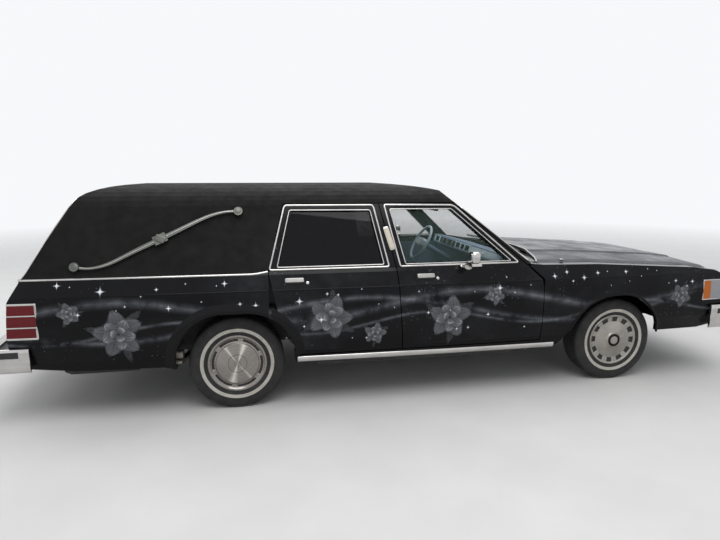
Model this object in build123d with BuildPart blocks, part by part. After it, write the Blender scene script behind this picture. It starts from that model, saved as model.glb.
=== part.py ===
# A full-size hearse built on a large wagon: separate panels on a perimeter frame,
# four hinged side doors, a hood, a rear loading door, and steered front wheels.
# X points forward, Y to the left and Z up. The floor is z = 0 and x = 0 is mid-length.
from build123d import *
from math import ceil, cos, hypot, radians, sin, sqrt
import os

os.makedirs("parts", exist_ok=True)

# Overall places
WHEELBASE = 2903
REAR_AXLE_X = -1195
FRONT_AXLE_X = REAR_AXLE_X + WHEELBASE
FRONT_OVERHANG = 1073.5
REAR_OVERHANG = 1586.5
FRONT_END_X = FRONT_AXLE_X + FRONT_OVERHANG
REAR_END_X = REAR_AXLE_X - REAR_OVERHANG

# Wheels
TYRE_RADIUS = 325
TYRE_HALF_WIDTH = 106
BEAD_RADIUS = 190
FLANGE_RADIUS = 203
FLANGE_HALF_WIDTH = 92
SPINDLE_RADIUS = 30
SPINDLE_CLEARANCE = 0.1
HALF_TRACK = 790
AXLE_HEIGHT = TYRE_RADIUS
SEAT_GAP = 0.3

# Body section: height, half width at mid-length, share that the roof's wall takes there
BELT_HEIGHT = 966
SIDE_SECTION = [
    (200, 905, 0),
    (345, 962, 0),
    (507, 1000, 0),
    (700, 1007, 0),
    (850, 998, 0),
    (BELT_HEIGHT - 16, 955, 0),
    (BELT_HEIGHT + 6, 943, 0),
    (1405, 770, 0),
    (1440, 747, 0.3),
    (1470, 714, 0.6),
    (1497, 660, 0.9),
    (1518, 585, 1),
    (1535, 440, 1),
    (1545, 230, 1),
    (1548, 0, 1),
]
WIDEST = 1007
SIDE_BOW_RADIUS = 52000
BOW_ANGLE = 3.3
FAR = 1300

# Walls and gaps
DOOR_LOWER_WALL = 110
DOOR_UPPER_WALL = 45
DOOR_CLEARANCE = 5
FRAME_LOWER_WALL = 150
FRAME_UPPER_WALL = 85
ROOF_WALL = 40
QUARTER_WALL = 60
FENDER_WALL = 25
REAR_WALL = 60
SHUT_GAP = 6.5
GLASS_INSET = 18
GLASS = 5

# Side view stations
SILL_LOW = 327
SILL_TOP = 388
FRONT_HINGE_X = FRONT_AXLE_X - 678
B_LOW_X = REAR_AXLE_X + 1155
B_BELT_X = REAR_AXLE_X + 1113
B_TOP_X = REAR_AXLE_X + 1019
DOOR_TOP = 1412
QUARTER_CUT_X = REAR_AXLE_X + 228
A_BELT_X = FRONT_AXLE_X - 807
A_TOP_X = FRONT_AXLE_X - 1313

# Windshield: centre line at its base and top, and the radius of its curve
SCREEN_BASE = (FRONT_AXLE_X - 578, 975)
SCREEN_TOP = (FRONT_AXLE_X - 1228, 1448)
SCREEN_RADIUS = 3800

# Hood
HOOD_EDGE_Y = 830
HOOD_WALL = 22
HOOD_REAR_CORNER_X = FRONT_AXLE_X - 668
HOOD_REAR_MIDDLE_X = FRONT_AXLE_X - 486
HOOD_FRONT_X = FRONT_AXLE_X + 832
HOOD_CORNER_Z = 957


def side_band(points, y_low, y_high):
    """Side-view outline in X and Z, between two Y places."""
    with BuildPart() as band:
        with BuildSketch(Plane.XZ.offset(-y_high)):
            with BuildLine():
                Polyline(*points, close=True)
            make_face()
        extrude(amount=y_high - y_low)
    return band.part


def top_band(points, z_low, z_high):
    """Plan outline in X and Y, between two heights."""
    with BuildPart() as band:
        with BuildSketch(Plane.XY.offset(z_low)):
            with BuildLine():
                Polyline(*points, close=True)
            make_face()
        extrude(amount=z_high - z_low)
    return band.part


def front_band(points, x_low, x_high):
    """Front-view outline in Y and Z, between two X places."""
    with BuildPart() as band:
        with BuildSketch(Plane.YZ.offset(x_low)):
            with BuildLine():
                Polyline(*points, close=True)
            make_face()
        extrude(amount=x_high - x_low)
    return band.part


def block(x_low, x_high, y_low, y_high, z_low, z_high):
    """Plain block between six places."""
    outline = [(x_low, y_low), (x_high, y_low), (x_high, y_high), (x_low, y_high)]
    return top_band(outline, z_low, z_high)


def save(shape, name):
    """Label a finished piece and write it."""
    shape.label = name
    export_step(shape, f"parts/{name}.step")


# The body's outer form, drawn in by its walls
def body_envelope(lower_wall=0, upper_wall=0, roof_wall=0, step=BELT_HEIGHT):
    """Bowed body form. Rows above the step height take the upper wall."""
    edge = []
    for height, half_width, roof_share in SIDE_SECTION:
        wall = upper_wall if height > step else lower_wall
        edge.append((half_width - wall * (1 - roof_share), height - roof_wall * roof_share))
    with BuildPart() as left_face:
        with BuildSketch(Plane.YZ):
            with BuildLine():
                Polyline((-FAR, edge[0][1]), *edge, (-FAR, edge[-1][1]), close=True)
            make_face()
        bow_axis = Axis((0, WIDEST - SIDE_BOW_RADIUS, 0), (0, 0, 1))
        revolve(axis=bow_axis, revolution_arc=BOW_ANGLE)
        mirror(about=Plane.YZ)
    with BuildPart() as envelope:
        add(left_face.part)
        add(left_face.part.mirror(Plane.XZ), mode=Mode.INTERSECT)
    return envelope.part


def screen_plane():
    """Plane square to the windshield's slope, with local Y into the cabin."""
    run = (SCREEN_TOP[0] - SCREEN_BASE[0], 0, SCREEN_TOP[1] - SCREEN_BASE[1])
    return Plane(origin=(SCREEN_BASE[0], 0, SCREEN_BASE[1]), x_dir=(0, 1, 0), z_dir=run)


def screen_block(inset):
    """Everything behind the windshield's outer face, drawn in by an inset."""
    half = 1100
    sag = SCREEN_RADIUS - sqrt(SCREEN_RADIUS**2 - half**2)
    with BuildPart() as behind:
        with BuildSketch(screen_plane().offset(-1500)):
            with BuildLine():
                ThreePointArc((-half, inset + sag), (0, inset), (half, inset + sag))
                Polyline((half, inset + sag), (half, 4800), (-half, 4800), (-half, inset + sag))
            make_face()
        extrude(amount=5500)
    return behind.part


# Side profile above the belt: offset from the rear axle or the front axle, height
REAR_SLOPE = [
    (-1315, BELT_HEIGHT - 23),
    (-1171, 1198),
    (-1034, 1416),
    (-1000, 1457),
    (-953, 1490),
    (-897, 1513),
    (-836, 1530),
    (-774, 1540),
    (-700, 1546),
    (-618, 1549),
]
ROOF_FRONT = [
    (-1808, 1549),
    (-1680, 1541),
    (-1558, 1528),
    (-1460, 1512),
    (-1378, 1495),
    (-1300, 1475),
    (-1228, 1452),
]


def roof_profile(wall=0):
    """Side view of the roof, with the rear slope and the roof drawn in by a wall."""
    rear = [(REAR_AXLE_X + x + wall, z - wall * 0.5) for x, z in REAR_SLOPE]
    front = [(FRONT_AXLE_X + x, z - wall * 0.5) for x, z in ROOF_FRONT]
    below = [(FRONT_AXLE_X - 300, 800), (REAR_AXLE_X - 1240 + wall, 800)]
    return side_band(rear + front + below, -FAR, FAR)


# Side profile below the belt: offsets from the rear axle, then from the front axle
REAR_FACE = [(-1315, BELT_HEIGHT), (-1315, BELT_HEIGHT - 23), (-1380, 825), (-1400, 590), (-1385, 380)]
REAR_UNDERSIDE = [(-1280, 380), (-1000, 350), (-470, 346), (-420, SILL_LOW)]
FRONT_UNDERSIDE = [(-540, SILL_LOW), (-500, 380), (314, 400), (724, 400)]
NOSE_FACE = [(882, 430), (917, 600), (932, 790), (907, 832), (832, 868)]
FENDER_LINE = [(832, 868), (634, 895), (-208, 947), (-668, HOOD_CORNER_Z), (-758, BELT_HEIGHT)]


def lower_profile(wall=0):
    """Side view of the body below the belt, with its ends and fender tops drawn in."""
    points = [(REAR_AXLE_X + x + wall, z) for x, z in REAR_FACE]
    points += [(REAR_AXLE_X + x, z - (120 if wall else 0)) for x, z in REAR_UNDERSIDE]
    points += [(FRONT_AXLE_X + x, z - (120 if wall else 0)) for x, z in FRONT_UNDERSIDE]
    points += [(FRONT_AXLE_X + x - wall, z - wall) for x, z in NOSE_FACE[:-1]]
    points += [(FRONT_AXLE_X + x, z - wall) for x, z in FENDER_LINE]
    return side_band(points, -FAR, FAR)


def rear_wall_inner():
    """Space in front of the rear wall below the belt."""
    points = [(REAR_AXLE_X + x + REAR_WALL, z) for x, z in REAR_FACE]
    points += [(REAR_AXLE_X - 800, REAR_FACE[-1][1]), (REAR_AXLE_X - 800, REAR_FACE[0][1])]
    return side_band(points, -FAR, FAR)


OUTER = body_envelope()
LOWER_OUTER = OUTER & lower_profile()
ROOF_OUTER = OUTER & roof_profile() & screen_block(0)

# Wheel arches
ARCH_HALF = 395
ARCH_CORNER = 320
ARCH_TOP = 702
ARCH_FLOOR = 150


def rear_arch(grow, y_low, y_high):
    """Rear wheel opening: upright sides, round corners and a flat top."""
    half = ARCH_HALF + grow
    corner = ARCH_CORNER + grow
    inner = half - corner
    spring = ARCH_TOP + grow - corner
    diagonal = corner * sqrt(0.5)
    with BuildPart() as opening:
        with BuildSketch(Plane.XZ.offset(-y_high)):
            with BuildLine():
                Polyline(
                    (REAR_AXLE_X - half, spring),
                    (REAR_AXLE_X - half, ARCH_FLOOR),
                    (REAR_AXLE_X + half, ARCH_FLOOR),
                    (REAR_AXLE_X + half, spring),
                )
                ThreePointArc(
                    (REAR_AXLE_X + half, spring),
                    (REAR_AXLE_X + inner + diagonal, spring + diagonal),
                    (REAR_AXLE_X + inner, ARCH_TOP + grow),
                )
                Line((REAR_AXLE_X + inner, ARCH_TOP + grow), (REAR_AXLE_X - inner, ARCH_TOP + grow))
                ThreePointArc(
                    (REAR_AXLE_X - inner, ARCH_TOP + grow),
                    (REAR_AXLE_X - inner - diagonal, spring + diagonal),
                    (REAR_AXLE_X - half, spring),
                )
            make_face()
        extrude(amount=y_high - y_low)
    return opening.part


# Sheet floor and the housings round the rear wheels
FLOOR_SHEET = 8
HOUSING_RADIUS = 410
HOUSING_INNER_Y = 640
HOUSING_LOW = 400


def wheel_room(radius):
    """Cylinder on the rear axle's line, right across the body."""
    with BuildPart() as room:
        with BuildSketch(Plane.XZ.offset(-FAR)):
            with Locations((REAR_AXLE_X, AXLE_HEIGHT)):
                Circle(radius)
        extrude(amount=2 * FAR)
    return room.part


# Front arch: offsets from the axle and heights of its ends, crown and the points between
FRONT_ARCH_REAR = [(-540, SILL_LOW), (-425, 455), (-300, 625), (-60, 703)]
FRONT_ARCH_FRONT = [(-60, 703), (190, 640), (325, 455), (338, 380)]


def front_arch(y_low, y_high):
    """Front wheel opening: a slanted rear edge and a round crown."""
    rear = [(FRONT_AXLE_X + x, z) for x, z in FRONT_ARCH_REAR]
    front = [(FRONT_AXLE_X + x, z) for x, z in FRONT_ARCH_FRONT]
    with BuildPart() as opening:
        with BuildSketch(Plane.XZ.offset(-y_high)):
            with BuildLine():
                Line(rear[0], rear[1])
                ThreePointArc(rear[1], rear[2], rear[3])
                ThreePointArc(front[0], front[1], front[2])
                Polyline(front[2], front[3], (front[3][0], ARCH_FLOOR), (rear[0][0], ARCH_FLOOR), rear[0])
            make_face()
        extrude(amount=y_high - y_low)
    return opening.part


# Door outlines in the side view, at the middle of the shut gaps
def front_door_face(grow):
    """Front door's outline, grown or shrunk from the middle of its gaps."""
    with BuildSketch(Plane.XZ.offset(-FAR)) as outline:
        with BuildLine():
            Polyline(
                (B_LOW_X, SILL_TOP),
                (FRONT_HINGE_X, SILL_TOP),
                (FRONT_HINGE_X, 800),
                (FRONT_HINGE_X - 12, 859),
                (A_BELT_X, BELT_HEIGHT + 5),
                (A_TOP_X, DOOR_TOP),
                (B_TOP_X, DOOR_TOP),
                (B_BELT_X, BELT_HEIGHT - 1),
                close=True,
            )
        make_face()
        offset(amount=grow, kind=Kind.INTERSECTION)
    return outline.sketch


REAR_DOOR_LOW_HALF = 432
REAR_DOOR_CORNER = 350
REAR_DOOR_SPRING = 420


def rear_door_face(grow):
    """Rear door's outline, whose lower rear edge goes round the wheel arch."""
    spring = REAR_DOOR_SPRING
    centre_x = REAR_DOOR_LOW_HALF - REAR_DOOR_CORNER
    cut = QUARTER_CUT_X - REAR_AXLE_X
    top_z = spring + sqrt(REAR_DOOR_CORNER**2 - (cut - centre_x) ** 2)
    middle = (centre_x + REAR_DOOR_CORNER * cos(radians(30)), spring + REAR_DOOR_CORNER * sin(radians(30)))
    with BuildSketch(Plane.XZ.offset(-FAR)) as outline:
        with BuildLine():
            Polyline(
                (QUARTER_CUT_X, top_z),
                (QUARTER_CUT_X, BELT_HEIGHT),
                (REAR_AXLE_X + 343, DOOR_TOP),
                (B_TOP_X, DOOR_TOP),
                (B_BELT_X, BELT_HEIGHT - 1),
                (B_LOW_X, SILL_TOP),
                (REAR_AXLE_X + REAR_DOOR_LOW_HALF, SILL_TOP),
                (REAR_AXLE_X + REAR_DOOR_LOW_HALF, spring),
            )
            ThreePointArc(
                (REAR_AXLE_X + REAR_DOOR_LOW_HALF, spring),
                (REAR_AXLE_X + middle[0], middle[1]),
                (QUARTER_CUT_X, top_z),
            )
        make_face()
        offset(amount=grow, kind=Kind.INTERSECTION)
    return outline.sketch


def skin_y(x, z):
    """Half width of the body's skin at a place in the side view."""
    rows = [pair for pair in zip(SIDE_SECTION, SIDE_SECTION[1:]) if pair[0][0] <= z <= pair[1][0]]
    low, high = rows[0]
    share = (z - low[0]) / (high[0] - low[0])
    return low[1] + share * (high[1] - low[1]) - x**2 / (2 * SIDE_BOW_RADIUS)


# Hinge lines of the side doors, upright at their foremost outer edges
FRONT_DOOR_HINGE = (FRONT_HINGE_X - SHUT_GAP / 2, 1000)
REAR_DOOR_HINGE = (B_LOW_X - SHUT_GAP / 2, 1008)
SWING_MARGIN = 1
SWING_STEP = 75


def swing_room(hinge, edge):
    """Space about a hinge line, out to a door's shut edge at each height, where the door can swing."""
    stations = []
    for (x_low, z_low), (x_high, z_high) in zip(edge, edge[1:]):
        steps = ceil((z_high - z_low) / SWING_STEP)
        for step in range(steps):
            share = step / steps
            stations.append((x_low + (x_high - x_low) * share, z_low + (z_high - z_low) * share))
    stations.append(edge[-1])
    reach = [(hypot(hinge[0] - x, hinge[1] - skin_y(x, z)) + SWING_MARGIN, z) for x, z in stations]
    with BuildPart() as room:
        with BuildSketch(Plane(origin=(*hinge, 0), x_dir=(1, 0, 0), z_dir=(0, -1, 0))):
            with BuildLine():
                Polyline((0, reach[0][1]), *reach, (0, reach[-1][1]), close=True)
            make_face()
        revolve(axis=Axis((*hinge, 0), (0, 0, 1)))
    return room.part


front_door_edge = [(B_LOW_X, SILL_TOP), (B_BELT_X, BELT_HEIGHT - 1), (B_TOP_X, DOOR_TOP)]
arch_centre_x = REAR_AXLE_X + REAR_DOOR_LOW_HALF - REAR_DOOR_CORNER
rear_door_edge = [(REAR_AXLE_X + REAR_DOOR_LOW_HALF, SILL_TOP)]
for turn in range(0, 66, 11):
    rear_door_edge.append((
        arch_centre_x + REAR_DOOR_CORNER * cos(radians(turn)),
        REAR_DOOR_SPRING + REAR_DOOR_CORNER * sin(radians(turn)),
    ))
rear_door_edge += [(QUARTER_CUT_X, BELT_HEIGHT), (REAR_AXLE_X + 343, DOOR_TOP)]

# Window openings in the side view
WINDOW_LOW = BELT_HEIGHT + 16
FRONT_WINDOW = [
    (REAR_AXLE_X + 1178, WINDOW_LOW),
    (FRONT_AXLE_X - 930, WINDOW_LOW),
    (FRONT_AXLE_X - 1345, 1364),
    (REAR_AXLE_X + 1102, 1367),
]
REAR_WINDOW = [
    (REAR_AXLE_X + 292, WINDOW_LOW + 4),
    (REAR_AXLE_X + 1022, WINDOW_LOW + 4),
    (REAR_AXLE_X + 950, 1362),
    (REAR_AXLE_X + 389, 1366),
]


def left_prism(face):
    """A side-view outline carried from the far left to the centre line."""
    with BuildPart() as prism:
        extrude(to_extrude=face, amount=FAR, dir=(0, -1, 0))
    return prism.part


# Inner forms that the walls leave
DOOR_INNER = body_envelope(DOOR_LOWER_WALL, DOOR_UPPER_WALL, 0, 900)
DOOR_SEAT = body_envelope(DOOR_LOWER_WALL + SEAT_GAP, DOOR_UPPER_WALL + SEAT_GAP, ROOF_WALL)
DOOR_POCKET = body_envelope(
    DOOR_LOWER_WALL + DOOR_CLEARANCE, DOOR_UPPER_WALL + DOOR_CLEARANCE, 0
)
FRAME_INNER = body_envelope(FRAME_LOWER_WALL, FRAME_UPPER_WALL, ROOF_WALL)
QUARTER_INNER = body_envelope(QUARTER_WALL, FRAME_UPPER_WALL, ROOF_WALL)
FENDER_INNER = body_envelope(FENDER_WALL, FENDER_WALL, 0)
GLASS_OUT = body_envelope(GLASS_INSET, GLASS_INSET, 0)
GLASS_IN = body_envelope(GLASS_INSET + GLASS, GLASS_INSET + GLASS, 0)

FRONT_CUT = left_prism(front_door_face(SHUT_GAP / 2)) - DOOR_POCKET
REAR_CUT = left_prism(rear_door_face(SHUT_GAP / 2)) - DOOR_POCKET

# Rear loading door: half widths and heights in the rear view
GATE_TOP = 1470
GATE_LOW = 600
GATE_ROWS = [(560, GATE_TOP), (715, 960), (700, GATE_LOW)]


def gate_prism(grow):
    """Rear-view outline of the loading door, carried through the rear wall."""
    right = [(half + grow, z + (grow if z == GATE_TOP else 0) - (grow if z == GATE_LOW else 0))
             for half, z in GATE_ROWS]
    left = [(-half, z) for half, z in reversed(right)]
    return front_band(right + left, REAR_AXLE_X - 1600, REAR_AXLE_X - 880)


# Tail lamps sit in pockets at the rear corners
TAIL_LOW = 589
TAIL_HIGH = 816
TAIL_FRONT_X = REAR_AXLE_X - 1217
TAIL_INNER_Y = 745
TAIL_WALL = 30


def tail_zone(side, grow):
    """Corner zone that a tail lamp fills."""
    inner = TAIL_INNER_Y - grow
    y_low, y_high = (inner, FAR) if side > 0 else (-FAR, -inner)
    return block(REAR_AXLE_X - 1600, TAIL_FRONT_X + grow, y_low, y_high, TAIL_LOW - grow, TAIL_HIGH + grow)


TAIL_INNER = body_envelope(TAIL_WALL, TAIL_WALL, 0) & lower_profile(TAIL_WALL)

# Behind the bumpers the tail and nose panels stop above the frame's rails
VALANCE_HALF = 880
TAIL_VALANCE_LOW = 560
NOSE_VALANCE_LOW = 500

# Lower body sides: sills, door posts, quarter panels and the tail panel
SIDES_FRONT_X = FRONT_HINGE_X + SHUT_GAP / 2
POST_DEPTH_X = 80
B_POST_HALF = 65

# Hinge leaves that the side doors hang on, and the seats of the hood's hinges
A_POST_TOP = 930
HOOD_SEAT_Z = HOOD_CORNER_Z - HOOD_WALL - SEAT_GAP
HINGE_HEIGHTS = (480, 690)
HINGE_LEAF_HEIGHT = 80
HINGE_LEAF_Y = (900, 955)
HINGE_PAD_INNER_Y = 700
HINGE_PAD_X = (REAR_DOOR_HINGE[0] - 85, REAR_DOOR_HINGE[0] - 40)

quarter_zone = block(REAR_AXLE_X - 1600, QUARTER_CUT_X + 300, -FAR, FAR, 300, BELT_HEIGHT)
sill_zone = block(REAR_AXLE_X + ARCH_HALF - 20, SIDES_FRONT_X, -FAR, FAR, SILL_LOW, SILL_TOP - SHUT_GAP / 2)
b_post_zone = block(B_BELT_X - B_POST_HALF, B_BELT_X + B_POST_HALF, -FAR, FAR, SILL_LOW + 30, BELT_HEIGHT)
c_post_rear = QUARTER_CUT_X - SHUT_GAP / 2
wheel_clear = wheel_room(HOUSING_RADIUS + FLOOR_SHEET + SEAT_GAP)
c_post_zone = block(c_post_rear - B_POST_HALF, c_post_rear, -FAR, FAR, AXLE_HEIGHT, BELT_HEIGHT) - wheel_clear
c_pocket_zone = block(c_post_rear, c_post_rear + B_POST_HALF, -FAR, FAR, AXLE_HEIGHT, BELT_HEIGHT)
c_pocket_zone = c_pocket_zone - wheel_clear
a_post_zone = block(SIDES_FRONT_X, SIDES_FRONT_X + POST_DEPTH_X, -FAR, FAR, SILL_LOW, A_POST_TOP)

quarter_cut = left_prism(rear_door_face(SHUT_GAP / 2))
with BuildPart() as body_sides:
    add((LOWER_OUTER - QUARTER_INNER) & quarter_zone)
    add(quarter_cut, mode=Mode.SUBTRACT)
    add(quarter_cut.mirror(Plane.XZ), mode=Mode.SUBTRACT)
    rear_wall = (LOWER_OUTER - rear_wall_inner()) & block(
        REAR_AXLE_X - 1600, REAR_AXLE_X - 1200, -FAR, FAR, 300, BELT_HEIGHT
    )
    add(rear_wall)
    add((LOWER_OUTER - FRAME_INNER) & sill_zone)
    add((DOOR_POCKET - FRAME_INNER) & b_post_zone)
    add((FENDER_INNER & LOWER_OUTER - FRAME_INNER) & a_post_zone)
    add((LOWER_OUTER - FRAME_INNER) & c_post_zone)
    add((DOOR_POCKET - FRAME_INNER) & c_pocket_zone)
    for cut in (FRONT_CUT, REAR_CUT):
        add(cut, mode=Mode.SUBTRACT)
        add(cut.mirror(Plane.XZ), mode=Mode.SUBTRACT)
    add(rear_arch(0, -FAR, FAR), mode=Mode.SUBTRACT)
    add(gate_prism(SHUT_GAP / 2), mode=Mode.SUBTRACT)
    tail_gap = block(REAR_END_X, REAR_AXLE_X - 1250, -VALANCE_HALF, VALANCE_HALF, 300, TAIL_VALANCE_LOW)
    add(tail_gap, mode=Mode.SUBTRACT)
    for side in (-1, 1):
        add(tail_zone(side, 0) - TAIL_INNER, mode=Mode.SUBTRACT)
        pad_y = sorted((side * HINGE_PAD_INNER_Y, side * FAR))
        leaf_y = sorted((side * HINGE_LEAF_Y[0], side * HINGE_LEAF_Y[1]))
        for z_low in HINGE_HEIGHTS:
            leaf_z = (z_low, z_low + HINGE_LEAF_HEIGHT)
            add(block(FRONT_DOOR_HINGE[0] + SEAT_GAP, SIDES_FRONT_X + 10, *leaf_y, *leaf_z))
            add((DOOR_SEAT - FRAME_INNER) & block(*HINGE_PAD_X, *pad_y, *leaf_z))
        hood_seat_y = sorted((side * (HOOD_EDGE_Y - 24), side * (HOOD_EDGE_Y - 6)))
        hood_seat_x = (HOOD_REAR_CORNER_X + 20, HOOD_REAR_CORNER_X + 60)
        add(block(*hood_seat_x, *hood_seat_y, A_POST_TOP - 20, HOOD_SEAT_Z))
save(body_sides.part, "body_sides")

# Tail lamps: the corner's own skin
tail_skin = LOWER_OUTER - TAIL_INNER
groove_skin = LOWER_OUTER - (body_envelope(5, 5, 0) & lower_profile(5))
tail_third = (TAIL_HIGH - TAIL_LOW) / 3
with BuildPart() as tail_lamps:
    for side in (-1, 1):
        add(tail_skin & tail_zone(side, 0))
    for groove_z in (TAIL_LOW + tail_third, TAIL_LOW + 2 * tail_third):
        groove = groove_skin & block(REAR_END_X, TAIL_FRONT_X + 1, -FAR, FAR, groove_z - 5, groove_z + 5)
        add(groove, mode=Mode.SUBTRACT)
save(tail_lamps.part, "tail_lamps")

# Roof with its pillars, in a textured covering
SCREEN_HALF_LOW = 868
SCREEN_HALF_HIGH = 655
SCREEN_LENGTH = hypot(SCREEN_TOP[0] - SCREEN_BASE[0], SCREEN_TOP[1] - SCREEN_BASE[1])
SCREEN_LOW = 22
SCREEN_LOW_RISE = 138
SCREEN_HIGH = SCREEN_LENGTH - 30
SCREEN_HIGH_DROP = 25


def screen_prism():
    """Windshield opening, carried square through the slope."""
    face_plane = Plane(origin=screen_plane().origin, x_dir=(0, 1, 0), z_dir=screen_plane().y_dir)
    with BuildPart() as prism:
        with BuildSketch(face_plane.offset(-150)):
            with BuildLine():
                low = -(SCREEN_LOW + SCREEN_LOW_RISE)
                high = SCREEN_HIGH_DROP - SCREEN_HIGH
                ThreePointArc((-SCREEN_HALF_LOW, low), (0, -SCREEN_LOW), (SCREEN_HALF_LOW, low))
                Line((SCREEN_HALF_LOW, low), (SCREEN_HALF_HIGH, high))
                ThreePointArc((SCREEN_HALF_HIGH, high), (0, -SCREEN_HIGH), (-SCREEN_HALF_HIGH, high))
                Line((-SCREEN_HALF_HIGH, high), (-SCREEN_HALF_LOW, low))
            make_face()
        extrude(amount=500)
    return prism.part


screen_opening = screen_prism()
belt_up = block(REAR_AXLE_X - 1600, FRONT_AXLE_X, -FAR, FAR, BELT_HEIGHT, 1700)
roof_inner = FRAME_INNER & roof_profile(REAR_WALL) & screen_block(60)

# Hinge pads over the loading door's top edge
GATE_PAD_X = (REAR_AXLE_X - 973, REAR_AXLE_X - 955)
GATE_PAD_Y = (300, 380)
with BuildPart() as roof_shell:
    add((ROOF_OUTER - roof_inner) & belt_up)
    for cut in (FRONT_CUT, REAR_CUT):
        add(cut, mode=Mode.SUBTRACT)
        add(cut.mirror(Plane.XZ), mode=Mode.SUBTRACT)
    for window in (FRONT_WINDOW, REAR_WINDOW):
        low_left, low_right = window[0], window[1]
        opening = [(low_left[0], 900), (low_right[0], 900), *window[1:], low_left]
        add(side_band(opening, -FAR, FAR), mode=Mode.SUBTRACT)
    add(screen_opening, mode=Mode.SUBTRACT)
    add(gate_prism(SHUT_GAP / 2), mode=Mode.SUBTRACT)
    for side in (-1, 1):
        pad_y = sorted((side * GATE_PAD_Y[0], side * GATE_PAD_Y[1]))
        pad_z = (GATE_TOP - SHUT_GAP / 2 + SEAT_GAP, GATE_TOP + 10)
        add(block(*GATE_PAD_X, *pad_y, *pad_z) & ROOF_OUTER)
save(roof_shell.part, "roof_shell")

with BuildPart() as windshield:
    add((screen_block(12) - screen_block(12 + GLASS + 1)) & screen_opening)
save(windshield.part, "windshield")

# Side doors, made on the left and mirrored
door_shell_left = OUTER - DOOR_INNER
glass_shell = GLASS_OUT - GLASS_IN
DOORS = {
    "front": (front_door_face, FRONT_WINDOW, swing_room(FRONT_DOOR_HINGE, front_door_edge)),
    "rear": (rear_door_face, REAR_WINDOW, swing_room(REAR_DOOR_HINGE, rear_door_edge)),
}
for name, (face, window, room) in DOORS.items():
    pane = side_band(window, 0, FAR)
    with BuildPart() as door:
        add(left_prism(face(-SHUT_GAP / 2)) & door_shell_left)
        add(room, mode=Mode.INTERSECT)
        add(pane, mode=Mode.SUBTRACT)
    with BuildPart() as glass:
        add(pane & glass_shell)
    save(door.part, f"door_{name}_left")
    save(door.part.mirror(Plane.XZ), f"door_{name}_right")
    save(glass.part, f"glass_{name}_left")
    save(glass.part.mirror(Plane.XZ), f"glass_{name}_right")

# Outside mirrors, on the front doors' tops
MIRROR_X = FRONT_AXLE_X - 1256
MIRROR_Z = 1040
MIRROR_OUT = 1105
for name, side in (("left", 1), ("right", -1)):
    with BuildPart() as mirror_piece:
        with BuildSketch(Plane.YZ.offset(MIRROR_X - 40)):
            with Locations((side * (MIRROR_OUT - 75), MIRROR_Z)):
                RectangleRounded(150, 100, 22)
        extrude(amount=70, taper=8)
        with BuildSketch(Plane.YZ.offset(MIRROR_X - 20)):
            with BuildLine():
                Polyline(
                    (side * 935, WINDOW_LOW - 40),
                    (side * (MIRROR_OUT - 105), MIRROR_Z - 40),
                    (side * (MIRROR_OUT - 105), MIRROR_Z - 20),
                    (side * (MIRROR_OUT - 140), MIRROR_Z - 20),
                    (side * 930, WINDOW_LOW - 10),
                    close=True,
                )
            make_face()
        extrude(amount=40)
        add(OUTER, mode=Mode.SUBTRACT)
    save(mirror_piece.part.solids().sort_by(SortBy.VOLUME)[-1], f"mirror_{name}")

# Rear loading door, with its window. Its inner part is drawn in, so that it clears as it rises
GATE_SKIN = 22
GATE_STEP = 14
REAR_PANE = [(480, 1400), (600, 1010), (-600, 1010), (-480, 1400)]
rear_pane = front_band(REAR_PANE, REAR_AXLE_X - 1600, REAR_AXLE_X - 900)
roof_rear = ROOF_OUTER & belt_up
gate_upper = roof_rear - roof_profile(REAR_WALL)
gate_lower = LOWER_OUTER - rear_wall_inner()
gate_outline = gate_prism(-SHUT_GAP / 2)
gate_inner_outline = gate_prism(-SHUT_GAP / 2 - GATE_STEP)
PLATE_DEPTH = 12
plate_zone = block(REAR_END_X, REAR_AXLE_X - 1300, -180, 180, 650, 785)
with BuildPart() as rear_door:
    add((roof_rear - roof_profile(GATE_SKIN)) & gate_outline)
    add(gate_upper & gate_inner_outline)
    below_belt = block(REAR_AXLE_X - 1600, REAR_AXLE_X - 1100, -FAR, FAR, 300, BELT_HEIGHT)
    add(gate_lower & gate_inner_outline & below_belt)
    add(rear_pane, mode=Mode.SUBTRACT)
    add((LOWER_OUTER - lower_profile(PLATE_DEPTH)) & plate_zone, mode=Mode.SUBTRACT)
save(rear_door.part, "rear_door")
with BuildPart() as rear_glass:
    add((roof_profile(GLASS_INSET) - roof_profile(GLASS_INSET + 2 * GLASS)) & rear_pane & OUTER)
    add(block(REAR_AXLE_X - 900, FRONT_AXLE_X, -FAR, FAR, 0, 1700), mode=Mode.SUBTRACT)
save(rear_glass.part, "rear_glass")

# Front fenders
NOSE_CUT_X = HOOD_FRONT_X
CORNER_LOW = 628
CORNER_HIGH = 792
CORNER_REAR_X = FRONT_AXLE_X + 727
CORNER_INNER_Y = 800
CORNER_WALL = 30


def corner_zone(side):
    """Corner zone that a front side lamp fills."""
    y_low, y_high = (CORNER_INNER_Y, FAR) if side > 0 else (-FAR, -CORNER_INNER_Y)
    return block(CORNER_REAR_X, FRONT_AXLE_X + 1000, y_low, y_high, CORNER_LOW, CORNER_HIGH)


corner_inner = body_envelope(CORNER_WALL, CORNER_WALL, 0) & lower_profile(CORNER_WALL)
front_skin = LOWER_OUTER - (FENDER_INNER & lower_profile(FENDER_WALL))
fender_clearance = SHUT_GAP / 2

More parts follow.
